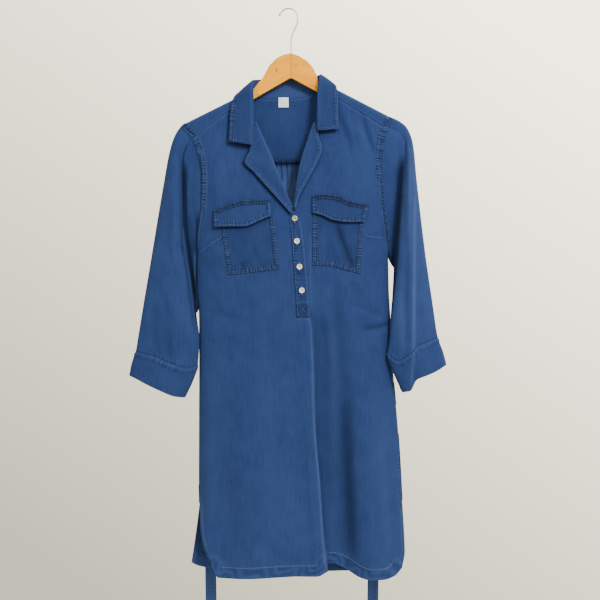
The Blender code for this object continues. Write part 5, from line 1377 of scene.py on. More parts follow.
def make_pockets():
    for index, (node, upper, lower) in enumerate(POCKETS):
        _, sides = border(upper, lower)
        grid, s, t = laid_grid(upper, lower, 56, 56)
        seam = seam_field(grid, [(line, 1.0, shift) for line, shift in zip(sides, (-3.6, -3.6, 3.6))], 2.6)
        x, z = grid[..., 0], grid[..., 2]
        ridge = rope(seam[..., 0], 3.0, 0.2, 0.9, seam[..., 1], 6.5, 50 + index)
        from_side = np.minimum(np.minimum(t, 1 - t), 1 - s) * 100.0
        puff = ease(from_side / 14.0) * (0.8 + 0.7 * ripple(x, z, 40.0, 52 + index))
        full = POCKET_SHOW + ridge * 0.7 + puff
        height = np.maximum(full - crease_sum(POCKET_CREASES[node], x, z), 0.45 * full)
        flap_edge = along(FLAPS[index][2], np.linspace(0, 1, 30)) - (1.0, 2.0)
        wear_and_painted_light = 0.3 * bell(from_lines(flat_of(grid), *sides) / 1.6) + POCKET_SHADE
        # the dark bands are painted shade in the creases, and the band under the flap's edge a painted shadow
        wear_and_painted_light += streaks(POCKET_SHADES[node], x, z) - 0.55 * bell(from_lines(flat_of(grid), flap_edge) / 3.0)
        cloth(node, raised(grid, height), seam, wear_and_painted_light)


def make_flaps():
    for index, (node, upper, lower) in enumerate(FLAPS):
        top, sides = border(upper, lower)
        grid, s, t = laid_grid(upper, lower, 64, 30)
        left, foot, right = sides
        lines = [(top, 1.0, 5.0), (foot, 0.8, -3.0), (left, 0.8, -3.0), (right, 0.8, 3.0)]
        seam = seam_field(grid, lines, 2.6)
        ridge = rope(seam[..., 0], 3.2, 0.2, 0.9, seam[..., 1], 6.5, 60 + index)
        left_curl, right_curl, middle_curl = FLAP_CURL[node]
        swing = left_curl * (1 - t) ** 2 + right_curl * t**2 + middle_curl * np.sin(math.pi * t) ** 2
        height = FLAP_SHOW * read(FLAP_RISE, s)[..., 0] + ridge * 0.8 + swing * ease(s)
        height = height + 0.5 * ripple(grid[..., 0], grid[..., 2], 34.0, 62 + index) * s
        wear_and_painted_light = 0.75 * bell(from_lines(flat_of(grid), *sides) / 1.9) + FLAP_SHADE[node]
        wear_and_painted_light -= 0.55 * bell((from_lines(flat_of(grid), top) - 5.0) / 4.5)
        cloth(node, raised(grid, height), seam, wear_and_painted_light)


def make_placket():
    left_x, left_z, right_x, right_z = columns_of(read(PLACKET, np.linspace(0, PLACKET[-1][0], 120)[:, None]))
    k = np.linspace(0, 1, 16)
    x, z = mix(left_x, right_x, k), mix(left_z, right_z, k)
    from_edge = np.minimum(k, 1 - k) * np.hypot(right_x - left_x, right_z - left_z)
    ridge = rope(from_edge - 2.5, 2.0, 0.15, 0.5, -z, 7.0, 70)
    y = front_y(x, z) - PLACKET_SHOW - ridge - 0.3 * ripple(x, z, 30.0, 71)
    seam = seam_values(np.abs(from_edge - 2.5), -z, mix(0.55, 0.15, k))
    box = ease((PLACKET_BOX - z) / 3.0)
    wear_and_painted_light = 0.5 * bell((1 - k) / 0.09) - 0.1 * (1 - box) - 0.5 * box * ease(from_edge / 2.0)
    # painted shadows under and around the buttons
    for button_x, button_z in BUTTONS:
        wear_and_painted_light = wear_and_painted_light - 0.45 * bell(np.hypot((x - button_x + 1.0) / 4.0, (z - button_z + 13.0) / 6.0))
        wear_and_painted_light = wear_and_painted_light - 0.6 * bell((np.hypot(x - button_x, z - button_z + 0.6) - BUTTON_WIDE / 2) / 1.8)
    cloth("placket", points(x, y, z), seam, wear_and_painted_light)


# ---------------------------------------------------------------- sleeves and cuffs

def armhole_point(side, t, behind):
    z = mix(EDGES[side][0][0], UNDERARM_Z[side], t)
    x, half = columns_of(read(EDGES[side], z))
    half = half * shoulder_wrap(x, z)
    close = ease((UNDERARM_Z[side] + 30.0 - z) / 30.0)
    half = mix(half, 0.0, close * ease((t - 0.96) / 0.04))
    return points(x + side * (LIP + SLEEVE_START), half if behind else -half, z)


def coons(top, bottom, left, right, v, s):
    """Patch between four lines, v from top to bottom and s from left to right."""
    ends = np.array([0.0, 1.0])
    a = mix(top(s)[None], bottom(s)[None], v[:, None, None])
    b = mix(left(v)[:, None], right(v)[:, None], s[None, :, None])
    c = mix(*(mix(*corners(ends), s[:, None])[None] for corners in (top, bottom)), v[:, None, None])
    return a + b - c


def pinned(rows, start, t):
    """A sleeve's line at t, drawn to begin at a point of the armhole."""
    fade = ((1 - t) ** 6)[..., None]
    return read(rows, t) + (start - np.array(rows[0][1:])) * fade


def spread(count):
    return (1 - np.cos(math.pi * np.arange(count + 1) / count)) / 2


def corner_share(side):
    """Where the yoke's corner lies on the armhole, as a share of the way down."""
    top_z = EDGES[side][0][0]
    return (YOKE_CORNER_Z[side] - top_z) / (UNDERARM_Z[side] - top_z)


def side_line(name, key, t):
    """Points on the outer, fold or inner line of a sleeve, t from the armhole to the cuff."""
    data = SLEEVES[name]
    side = data["side"]
    start = {"outer": 0.0, "fold": corner_share(side), "inner": 1.0}[key]
    spots = pinned(data[key], armhole_point(side, np.array(start), False), t)
    if (name, key) in SLEEVE_NUDGE:
        spots = spots + read(SLEEVE_NUDGE[name, key], t)
    if key == "inner" and side < 0:
        least = edge_x(side, spots[..., 2]) - read(SLEEVE_CLEAR, spots[..., 2])[..., 0]
        spots[..., 0] = np.maximum(spots[..., 0], least)
    return spots


def sleeve_surface(name, v):
    """Rings of a sleeve at shares v from the armhole to the cuff seam, without its fine creases."""
    data = SLEEVES[name]
    side, corner = data["side"], corner_share(data["side"])
    bulge_front, bulge_back, valley = (a[:, None] for a in columns_of(read(SLEEVE_DEPTH, v)))

    def head(first, last, behind=False):
        return lambda q: armhole_point(side, mix(first, last, q), behind)

    def foot(first, last):
        def at(q):
            share = mix(first, last, q)
            x, z = columns_of(read(CUFFS["cuff" + name[-2:]]["seam"], share))
            return points(x, mix(data["outer"][-1][2], data["inner"][-1][2], share), z)
        return at

    outer, fold, inner = ((lambda t, key=key: side_line(name, key, t)) for key in ("outer", "fold", "inner"))
    fold_share = CUFF_FOLD[name]
    s = spread(RING_FRONT)[:-1]
    front = coons(head(0.0, corner), foot(0.0, fold_share), outer, fold, v, s)
    lift = bulge_front * np.sin(math.pi * s) ** 0.7
    if side > 0:
        lift = lift + SLEEVE_RIDGE * ease(v / 0.4)[:, None] * bell((s - 0.55) / 0.16)
        lift = lift * mix(HEAD_FLAT, 1.0, ease((v - 0.05) / 0.2))[:, None]
    front[..., 1] -= lift
    s = UNDER_SHARES
    under = coons(head(corner, 1.0), foot(fold_share, 1.0), fold, inner, v, s)
    sink = valley * VALLEY_SHOW * bell((s - 0.08) / 0.3) * ease(s / 0.08) * (s < 1)
    width = np.abs(fold(v)[:, 0] - inner(v)[:, 0])[:, None]
    under[..., 1] += sink * np.minimum(width / 14.0, 1.0)
    s = spread(RING_BACK)[1:-1]
    back = coons(head(1.0, 0.0, True), foot(1.0, 0.0), inner, outer, v, s)
    back[..., 1] += bulge_back * np.sin(math.pi * s) ** 0.7
    return np.concatenate([front, under, back], axis=1)


def sleeve_grid(name, v):
    """The same with its creases, its wear, and the painted light and shade on it, darkest behind and beside
    its front fold.
    """
    rings = sleeve_surface(name, v)
    side = SLEEVES[name]["side"]
    x, z = rings[..., 0], rings[..., 2]
    i = np.arange(rings.shape[1])
    ring_under_end = RING_FRONT + RING_UNDER
    is_back = i > ring_under_end
    calm_under = np.where(i > RING_FRONT, ease((RING_FRONT + 9 - i) / 9.0), 1.0)
    calm_front = np.where(is_back, 0.0, ease(np.clip(i / RING_FRONT, 0, 1) / 0.12) * calm_under)
    back_s = (i - ring_under_end) / RING_BACK
    calm_back = np.where(is_back, ease(back_s / 0.15) * ease((1 - back_s) / 0.12), 0.0)
    wear_and_painted_light = streaks(SLEEVE_SHADES[name], x, z) * ~is_back
    # painted shade behind the front fold, and a painted shadow in a strip beside it
    under = ease((i - RING_FRONT) / 3.0) * ease((ring_under_end - i) / 3.0)
    hidden = np.where(is_back | (i < RING_FRONT), 0.0, under)
    wear_and_painted_light = wear_and_painted_light - HIDDEN_SHADE[name] * hidden * ease((0.9 - v) / 0.1)[:, None]
    fold = rings[:, RING_FRONT]
    gap = side * (np.interp(-z, -fold[:, 2], fold[:, 0]) - x)
    middle, reach, force, top = FOLD_SHADOW[name]
    shadow = bell((gap - middle) / reach) * ease((top - z) / 50.0)
    low = LOW_SHADOW[name] * ease((v - 0.46) / 0.14)[:, None]
    share = np.maximum(shadow, low) * (~is_back & (i > RING_FRONT)) * ease((0.88 - v) / 0.06)[:, None]
    uneven = 0.9 * ripple(x, z * 0.55, 60.0, 81 + side) + 0.4 * ripple(x, z * 0.8, 27.0, 84 + side)
    depth = crease_sum(SLEEVE_CREASES[name], x, z) + uneven
    behind = crease_sum(SLEEVE_BACK_CREASES[name], x, z) + uneven
    rings[..., 1] += ease(v / 0.05)[:, None] * (depth * calm_front - behind * calm_back)
    return rings, mix(wear_and_painted_light, -force, share)


def ring_run(ring):
    steps = np.linalg.norm(np.roll(ring, -1, axis=0) - ring, axis=-1)
    return np.concatenate([[0.0], np.cumsum(steps)[:-1]])


def swell(rings, height):
    """Moves the rings of a tube out from their middles, in x and y."""
    away = rings[..., :2] - rings[..., :2].mean(axis=1, keepdims=True)
    rings[..., :2] += unit(away) * height[..., None]


def let_in(ring, before, further, inward):
    """A ring past the end of a tube, drawn in so that it goes inside its neighbour."""
    spot = ring + unit(ring - before) * further
    centre = spot.mean(axis=0)
    spot[:, 0] -= inward * (spot[:, 0] - centre[0]) / np.abs(spot[:, 0] - centre[0]).max()
    spot[:, 1] -= inward * np.sign(spot[:, 1] - centre[1])
    return spot


def soften_fold(rings, v, ends, reaches):
    """Rounds a sleeve's front fold away towards the shoulder."""
    reach = np.arange(-12, 13)
    kernel = bell(reach / 7.0) / bell(reach / 7.0).sum()
    first, last = RING_FRONT - 14, RING_FRONT + 12
    y = rings[..., 1]
    smooth = sum(k * y[:, first + r:last + r] for k, r in zip(kernel, reach))
    share = bell((np.arange(first, last) - RING_FRONT) / 8.0)
    weight = (1 - ease((v - ends) / reaches))[:, None] * share
    y[:, first:last] = mix(y[:, first:last], smooth, weight)


def make_sleeves():
    for name, data in SLEEVES.items():
        side = data["side"]
        v = np.linspace(0, 1, 120) ** 1.1
        rings, wear_and_painted_light = sleeve_grid(name, v)
        soften_fold(rings, v, *FOLD_SOFT[name])
        v = v[:, None]
        run = ring_run(rings[0]) * (1 - v) + ring_run(rings[-1]) * v
        from_top, from_foot = v * SLEEVE_LONG, (1 - v) * SLEEVE_LONG
        head = rope(from_top - 4.0, 5.0, 0.2, 1.2, run, 10.0, 88 + side)
        foot = bell(from_foot / 9.0) * (beads(run, 8.0, 90 + side) - 0.3) * 1.6
        swell(rings, foot + head * 0.5)
        near = np.abs(np.where(from_top < from_foot, from_top - 2.0, from_foot))
        strength = np.where(from_top < from_foot, 0.9, 0.4) * ease((SEAM_REACH - near) / 4.0)
        ends = let_in(rings[0], rings[1], 4.5, 1.3), let_in(rings[-1], rings[-2], 5.0, 1.9)
        grid = np.concatenate([ends[0][None], rings, ends[1][None]])
        seam, wear_and_painted_light = (np.concatenate([a[:1], a, a[-1:]]) for a in (seam_values(near, run, strength), wear_and_painted_light))
        cloth(name, grid, seam, wear_and_painted_light, closed=True, turned=side < 0)


def make_cuffs():
    for name, data in CUFFS.items():
        sleeve = data["sleeve"]
        side = SLEEVES[sleeve]["side"]
        seam_ring, above = sleeve_surface(sleeve, np.array([1.0, 0.97]))
        middle, deep_front, deep_back = data["middle"]
        fold = CUFF_FOLD[sleeve]
        shares = np.concatenate([
            fold * spread(RING_FRONT)[:-1], mix(fold, 1.0, UNDER_SHARES), 1 - spread(RING_BACK)[1:-1],
        ])
        is_back = np.arange(len(shares)) > RING_FRONT + RING_UNDER
        edge = read(data["edge"], shares)
        arch = np.maximum(4 * shares * (1 - shares), 0.0) ** 0.5
        y = np.where(is_back, middle + deep_back * arch, middle - deep_front * arch)
        foot = points(edge[:, 0], y, edge[:, 1])
        start = seam_ring + (seam_ring - above) * 0.02
        t = steps((0.0, 0.12, 5), (0.12, 0.88, 16), (0.88, 1.0, 5))
        grid = mix(start[None], foot[None], t[:, None, None])
        SEAM_GRIDS[name] = (grid, t * CUFF_TALL, None)
        t, run = t[:, None], ring_run(foot)[None]
        from_top, from_foot = t * CUFF_TALL, (1 - t) * CUFF_TALL
        ridges = rope(from_top - 4.5, 2.6, 0.2, 1.0, run, 7.5, 95)
        ridges = ridges + rope(from_foot - 4.5, 2.8, 0.2, 1.0, run, 8.0, 96)
        wave = 0.8 * ripple(run, t * 60.0, 55.0, 97 + side) * ease(t / 0.2)
        swell(grid, ridges * 0.9 + np.sin(math.pi * t) * 1.6 + wave + 0.5)
        near = np.abs(np.minimum(from_top, from_foot) - 4.5)
        is_top = from_top < from_foot
        strength = np.where(is_top, 0.4, 0.16) * ease((SEAM_REACH - near) / 4.0)
        seam = seam_values(near, run + np.where(is_top, 0, 300.0), strength)
        wear_and_painted_light = 0.5 * bell(from_foot / 2.0) + 0.35 * bell((from_top - 2.0) / 2.0) + CUFF_SHADE[name]
        wear_and_painted_light = wear_and_painted_light + streaks(CUFF_SHADES[name], grid[..., 0], grid[..., 2]) * ~is_back
        cloth(name, grid, seam, wear_and_painted_light, closed=True, turned=side < 0)


# ---------------------------------------------------------------- ties and label

def make_ties():
    for index, (node, (waist_x, end_x, waist_z, end_z)) in enumerate(TIES.items()):
        t = np.linspace(0, 1, 110)[:, None]
        k = np.linspace(-1, 1, 9)
        x, z = mix(waist_x, end_x, t), mix(waist_z, end_z, t)
        lain = np.maximum(z, TIE_LEAVES)
        y = np.maximum.reduce([back_y(x + dx, lain) for dx in (-TIE_WIDE / 2, 0.0, TIE_WIDE / 2)])
        y = y + TIE_LIFT + TIE_THICK - TIE_RETURN * ease((TIE_LEAVES - z) / TIE_RETURN_LENGTH)
        sway = 1.2 * ripple(z, 0 * z, 260.0, 100 + index)
        twist = 1.4 * np.sin(z / 95.0 + index * 2) + 0.8 * ripple(z, 0 * z, 70.0, 104 + index)
        from_edge = (1 - np.abs(k)) * TIE_WIDE / 2
        ridge = rope(from_edge - 2.0, 1.6, 0.0, 0.4, -z, 6.0, 108)
        grid = points(x + k * (TIE_WIDE / 2 - 0.4) + sway, y + 1.0 + k * twist * 0.8 + ridge, z)
        SEAM_GRIDS[node] = (grid, None, None)
        wear_and_painted_light = np.full(grid.shape[:2], TIE_FADED)
        cloth(node, grid, seam_values(np.abs(from_edge - 2.0), -z, 0.5), wear_and_painted_light, turned=True)


def make_label():
    (left, top), (right, bottom) = LABEL
    x = np.linspace(left + LABEL_TRIM, right - LABEL_TRIM, 16)
    z = np.linspace(top, bottom, 14)[:, None] + LABEL_RAISED
    y = back_y(x, z) - CLOTH - LABEL_LIFT - 0.35 * np.sin(x / 4.0) * np.sin(z / 7.0)
    label = cloth("neck_label", points(x, y, z), material=LABEL_WEAVE)


# ---------------------------------------------------------------- buttons

BUTTON_PROFILE = (
    # share of the radius, height, from the back round the rim to the dish
    (0.55, 0.0), (0.82, 0.05), (0.96, 0.5), (1.0, 1.1), (0.98, 1.8), (0.9, 2.35), (0.8, 2.4), (0.7, 2.05),
    (0.62, 1.75), (0.5, 1.65),
)
DISH_HIGH = 1.65       # height of the dish, in which the holes are
HOLE_FLOOR = 0.2       # height at which the holes end, inside the button
HOLE_RADIUS = 0.75
HOLE_AWAY = 1.45       # from the button's middle


def circle(radius, count, high, x=0.0, z=0.0):
    angles = [2 * math.pi * i / count for i in range(count)]
    return [(x + radius * math.cos(a), -high, z + radius * math.sin(a)) for a in angles]


def ring_mesh(bm, rings):
    made = [[bm.verts.new(p) for p in ring] for ring in rings]
    for a, b in zip(made, made[1:]):
        for i, j in zip(range(len(a)), [*range(1, len(a)), 0]):
            bm.faces.new((a[i], a[j], b[j], b[i]))
    return made


def ring_edges(bm, ring):
    return [bm.edges.get(pair) for pair in zip(ring, ring[1:] + ring[:1])]


def button_mesh(name):
    """A button with a dished face and four holes."""
    bm = bmesh.new()
    radius = BUTTON_WIDE / 2
    rings = ring_mesh(bm, [circle(radius * share, 40, high) for share, high in BUTTON_PROFILE])
    dish = sorted(rings[-1], key=lambda v: math.atan2(v.co.z, v.co.x))
    edges = []
    for i in range(4):
        angle = math.pi / 4 + i * math.pi / 2
        x, z = HOLE_AWAY * math.cos(angle), HOLE_AWAY * math.sin(angle)
        hole = ring_mesh(bm, [circle(HOLE_RADIUS, 12, high, x, z) for high in (DISH_HIGH, HOLE_FLOOR)])
        edges += ring_edges(bm, hole[0])
    bmesh.ops.triangle_fill(bm, use_beauty=True, edges=ring_edges(bm, dish) + edges)
    bmesh.ops.recalc_face_normals(bm, faces=bm.faces)
    bmesh.ops.scale(bm, vec=(MM, MM, MM), verts=bm.verts)
    mesh = bpy.data.meshes.new(name)
    bm.to_mesh(mesh)
    bm.free()
    mesh.shade_smooth()
    return mesh


def make_buttons():
    for number, (x, z) in enumerate(BUTTONS, 1):
        name = "button_%d_pearl" % number
        # the top button takes a shaded copy of the pearl, as painted shade
        material = PEARL if number > 1 else SHADED_PEARL
        obj = add_object(name, button_mesh(name), material, "button_pearl", "button_%d" % number)
        obj.location = (x * MM, float(front_y(x, z) - PLACKET_SHOW - 0.5) * MM, z * MM)
        obj.rotation_euler = (0.04, math.radians(17 * number), 0.03)


# ---------------------------------------------------------------- sewing

def at_run(line, run, places):
    return np.stack([np.interp(places, run, line[:, c]) for c in range(line.shape[1])], axis=1)


def trimmed(line, before=0.0, after=0.0, step=1.5):
    """An even copy of a line, cut short at its ends."""
    line = np.asarray(line, dtype=float)
    run = run_of(line)
    places = np.linspace(before, run[-1] - after, max(3, int((run[-1] - before - after) / step)))
    return at_run(line, run, places)


def beside(line, away):
    """A copy of a line in x and z, moved to the left of the way it runs."""
    line = np.asarray(line, dtype=float)
    ahead = unit(np.gradient(line, axis=0))
    return line + away * np.stack([-ahead[:, 1], ahead[:, 0]], axis=1)


def around(sides, inset):
    """Lines inside a patch's left, lower and right sides."""
    left, foot, right = (trimmed(side) for side in sides)
    ends = ((left, 0.0, inset), (foot, inset, inset), (right[::-1], inset, 0.0))
    return [trimmed(beside(line, inset), before, after) for line, before, after in ends]


def shell_surface(node):
    mesh = SHELLS[node]
    places = [vertex.co.copy() for vertex in mesh.vertices]
    return BVHTree.FromPolygons(places, [tuple(face.vertices) for face in mesh.polygons])


def laid(surface, line, facing, inside=0.0):
    """A line in x and z laid on a surface seen from the facing direction, with the surface's directions."""
    facing = unit(np.array(facing, dtype=float))
    places, ways = [], []
    for x, z in line:
        start = np.array([x, 0.0, z]) + facing * 90.0
        place, way, _, _ = surface.ray_cast(Vector(start * MM), Vector(-facing), 0.18)
        if place is None:
            continue
        way = np.array(way)
        way = way if way @ facing > 0 else -way
        places.append(np.array(place) / MM + way * inside)
        ways.append(way)
    return np.array(places), np.array(ways)


def on_grid(grid, rows, columns, facing):
    """Points of a grid at fractions of rows and columns, with the surface's directions there."""
    rows, columns = np.broadcast_arrays(rows, columns)
    i = np.clip(rows.astype(int), 0, grid.shape[0] - 2)
    j = np.clip(columns.astype(int), 0, grid.shape[1] - 2)
    u, v = (rows - i)[:, None], (columns - j)[:, None]
    a, b, c, d = grid[i, j], grid[i + 1, j], grid[i, j + 1], grid[i + 1, j + 1]
    ways = unit(np.cross(b - a, c - a))
    return mix(mix(a, b, u), mix(c, d, u), v), ways * np.sign((ways * facing).sum(-1, keepdims=True))


def stitches(name, rows, slot="dress_cloth", material=None, long=2.7, gap=0.9, thick=0.4):
    """Threads a few millimetres long in rows, each lying on its surface with its ends let in."""
    starts, ends, tops = [], [], []
    for line, ways in rows:
        if len(line) < 2:
            continue
        run = run_of(line)
        first = np.arange(0.3, run[-1] - long, long + gap)
        if len(first):
            starts.append(at_run(line, run, first))
            ends.append(at_run(line, run, first + long))
            tops.append(at_run(ways, run, first + long / 2))
    start, end, top = (np.concatenate(parts) for parts in (starts, ends, tops))
    close = np.linalg.norm(end - start, axis=1) < 1.3 * long
    start, end, top = start[close], end[close], top[close]
    ahead = unit(end - start)
    top = unit(top - ahead * (top * ahead).sum(-1, keepdims=True))
    side = np.cross(ahead, top)
    parts = []
    for t, half, high in ((0.0, 0.35, -0.12), (0.22, 1.0, 0.62), (0.78, 1.0, 0.62), (1.0, 0.35, -0.12)):
        middle = mix(start, end, t)
        reach = side * thick / 2 * half
        parts += [middle + reach - top * 0.08, middle + top * thick * high, middle - reach - top * 0.08]
    vertices = np.stack(parts, axis=1).reshape(-1, 3)
    one = np.array([(p + q, p + q + 1, p + q + 4, p + q + 3) for q in (0, 1) for p in (0, 3, 6)])
    faces = (one[None] + 12 * np.arange(len(start))[:, None, None]).reshape(-1, 4)
    mesh = bpy.data.meshes.new(name)
    mesh.from_pydata((vertices * MM).tolist(), [], faces.tolist())
    mesh.shade_smooth()
    return add_object(name, mesh, material or THREAD, slot)


FRONT_WAY, BACK_WAY = (0.0, -1.0, 0.0), (0.0, 1.0, 0.0)


def beside_edge(side, top, foot, away):
    """A line inside the panels' side edge."""
    return trimmed(beside(edge_line(side, top, foot), -side * away))


def beside_vent(side, corner):
    return trimmed(beside(np.array(corner)[:, ::-1], -side * VENT_STITCHES), 0.0, 4.0)


def sew_front():
    front = shell_surface("front")
    lines = [trimmed(inset_hem(table), 3.0, 3.0) for table in (FRONT_HEM_LEFT, FRONT_HEM_RIGHT)]
    lines += [trimmed(dart) for dart in DARTS]
    stitches("front_seams", [laid(front, line, FRONT_WAY) for line in lines], long=3.3, gap=0.4, thick=0.6)
    lines = []
    for side, corner in ((-1, FRONT_CORNER_LEFT), (1, FRONT_CORNER_RIGHT)):
        lines.append(beside_vent(side, corner))
        for away, foot in zip(ARM_STITCHES, (UNDERARM_Z[side], BEADS_END[side])):
            lines.append(beside_edge(side, YOKE_CORNER_Z[side] - 2.0, foot, away))
    stitches("front_sewing", [laid(front, line, FRONT_WAY) for line in lines])


def sew_back():
    back = shell_surface("back")
    hem = trimmed(inset_hem(BACK_HEM_LINE), 4.0, 4.0)
    rows = [laid(back, hem, BACK_WAY), laid(back, hem, FRONT_WAY, 1.05)]
    for side, corner in ((-1, BACK_EDGE_LEFT), (1, BACK_EDGE_RIGHT)):
        lines = [beside_vent(side, corner)]
        lines += [beside_edge(side, BACK_SEAM[side] - 3.0, UNDERARM_Z[side], away) for away in ARM_STITCHES]
        lines.append(beside_edge(side, UNDERARM_Z[side] - 3.0, VENT_TOP, SIDE_STITCHES))
        rows += [laid(back, line, BACK_WAY) for line in lines]
    stitches("back_sewing", rows)


def sew_yoke():
    yoke = shell_surface("yoke")
    seam = trimmed(BACK_SEAM_ENDS)
    rows = [laid(yoke, trimmed(beside(seam, away), 3.0, 3.0), BACK_WAY) for away in BACK_SEAM_STITCHES]
    for side in (-1, 1):
        strap = trimmed(strap_seam(side), 3.0, 3.0)
        rows += [laid(yoke, beside(strap, -side * away), FRONT_WAY) for away in STRAP_STITCHES]
        for away in ARM_STITCHES:
            line = beside_edge(side, BACK_SEAM[side] + 3.0, YOKE_ARM_TOP[1], -away)
            rows.append(laid(yoke, line, BACK_WAY))
    stitches("yoke_sewing", rows)


def sew_patches():
    for patches, insets, top_insets in (
        (POCKETS, POCKET_STITCHES, ()), (FLAPS, FLAP_STITCHES, FLAP_TOP_STITCHES),
    ):
        for node, upper, lower in patches:
            top, sides = border(upper, lower)
            lines = [line for inset in insets for line in around(sides, inset)]
            lines += [trimmed(beside(trimmed(top), -away), 2.0, 2.0) for away in top_insets]
            surface = shell_surface(node)
            stitches(node + "_sewing", [laid(surface, line, FRONT_WAY) for line in lines])


def sew_placket():
    surface = shell_surface("placket")
    left, right = (np.array([row[i:i + 2] for row in PLACKET]) for i in (1, 3))
    box = next(i for i, row in enumerate(PLACKET) if row[0] == 4)
    edges = ((left, PLACKET_STITCHES), (right, -PLACKET_STITCHES))
    lines = [trimmed(beside(trimmed(line), away), 2.0, 2.5) for line, away in edges]
    inset, lifted = np.array([2.4, 0.0]), np.array([0.0, 2.2])
    a, b, c, d = left[box] + inset, right[box] - inset, right[-1] - inset + lifted, left[-1] + inset + lifted
    lines += [trimmed(line) for line in ((a, b), (c, d), (a, c), (b, d))]
    rows = [laid(surface, line, FRONT_WAY) for line in lines]
    for x, z in BUTTONS:
        for away in BUTTONHOLE_ROWS:
            line = trimmed(((x + away, z - BUTTONHOLE_HALF), (x + away, z + BUTTONHOLE_HALF)), step=0.6)
            rows.append(laid(surface, line, FRONT_WAY, 0.1))
        for high in [z + end + up for end in (-BUTTONHOLE_HALF, BUTTONHOLE_HALF) for up in BAR_ROWS]:
            bar = trimmed(((x - BAR_HALF, high), (x + BAR_HALF, high)), step=0.6)
            rows.append(laid(surface, bar, FRONT_WAY, 0.15))
    stitches("placket_sewing", rows)


def edge_columns(from_edge):
    """For each row of a grid, the place across it where the stitches beside its free edge are."""
    columns = np.arange(from_edge.shape[1])
    return np.array([np.interp(EDGE_STITCHES, row[::-1], columns[::-1]) for row in from_edge])


def sew_collar():
    grid, from_edge, out = SEAM_GRIDS["collar"]
    count = len(grid)
    across = edge_columns(from_edge)
    first = float(np.interp(EDGE_STITCHES, run_of(grid[:, -1]), np.arange(count)))
    last = count - 1 - first
    places = np.linspace(first, last, 900)
    nearest = np.clip(np.round(places).astype(int), 0, count - 1)
    rows = [on_grid(grid, places, np.interp(places, np.arange(count), across), out[nearest])]
    for end, row in ((first, 0), (last, count - 1)):
        rows.append(on_grid(grid, np.full(60, end), np.linspace(18.5, across[row], 60), out[row]))
    stitches("collar_sewing", rows)
    for node in ("lapel_L", "lapel_R"):
        grid, from_edge, _ = SEAM_GRIDS[node]
        numbers = np.arange(len(grid))
        places = np.linspace(1.0, len(grid) - 2.0, 300)
        columns = np.interp(places, numbers, edge_columns(from_edge))
        wide = np.interp(places, numbers, from_edge.max(axis=1)) > 9.0
        stitches(node + "_sewing", [on_grid(grid, places[wide], columns[wide], np.array(FRONT_WAY))])


def sew_cuffs():
    for name in CUFFS:
        grid, down, _ = SEAM_GRIDS[name]
        ring = np.concatenate([grid, grid[:, :1]], axis=1)
        middle = grid.mean(axis=(0, 1))
        columns = np.linspace(0, ring.shape[1] - 1.001, 400)
        rows = []
        for away in (*CUFF_TOP_STITCHES, CUFF_TALL - CUFF_FOOT_STITCHES):
            row = float(np.interp(away, down, np.arange(len(grid))))
            line, ways = on_grid(ring, np.full(400, row), columns, np.ones(3))
            outward = (line - middle) * (1.0, 1.0, 0.0)
            rows.append((line, ways * np.sign((ways * outward).sum(-1, keepdims=True))))
        stitches(name + "_sewing", rows)


def sew_ties():
    for name in TIES:
        grid = SEAM_GRIDS[name][0]
        places = np.linspace(0.5, len(grid) - 1.6, 500)
        rows = []
        for facing, inside in ((1.0, 0.0), (-1.0, 1.25)):
            for share in TIE_STITCHES:
                columns = np.full(500, share * (grid.shape[1] - 1))
                line, ways = on_grid(grid, places, columns, np.array((0.0, facing, 0.0)))
                rows.append((line + ways * inside, ways))
        stitches(name + "_sewing", rows)


def sew_label():
    surface = shell_surface("neck_label")
    (left, top), (right, bottom) = LABEL
    ends = top + LABEL_RAISED - 0.5, bottom + LABEL_RAISED + 0.5
    lines = [
        trimmed([(x, z) for z in ends], step=0.5)
        for x in (left + LABEL_TRIM + 0.8, right - LABEL_TRIM - 0.8)
    ]
    rows = [laid(surface, line, FRONT_WAY) for line in lines]
    stitches("neck_label_sewing", rows, "label_cloth", LABEL_WEAVE, long=1.1, gap=0.5, thick=0.25)


# ---------------------------------------------------------------- materials

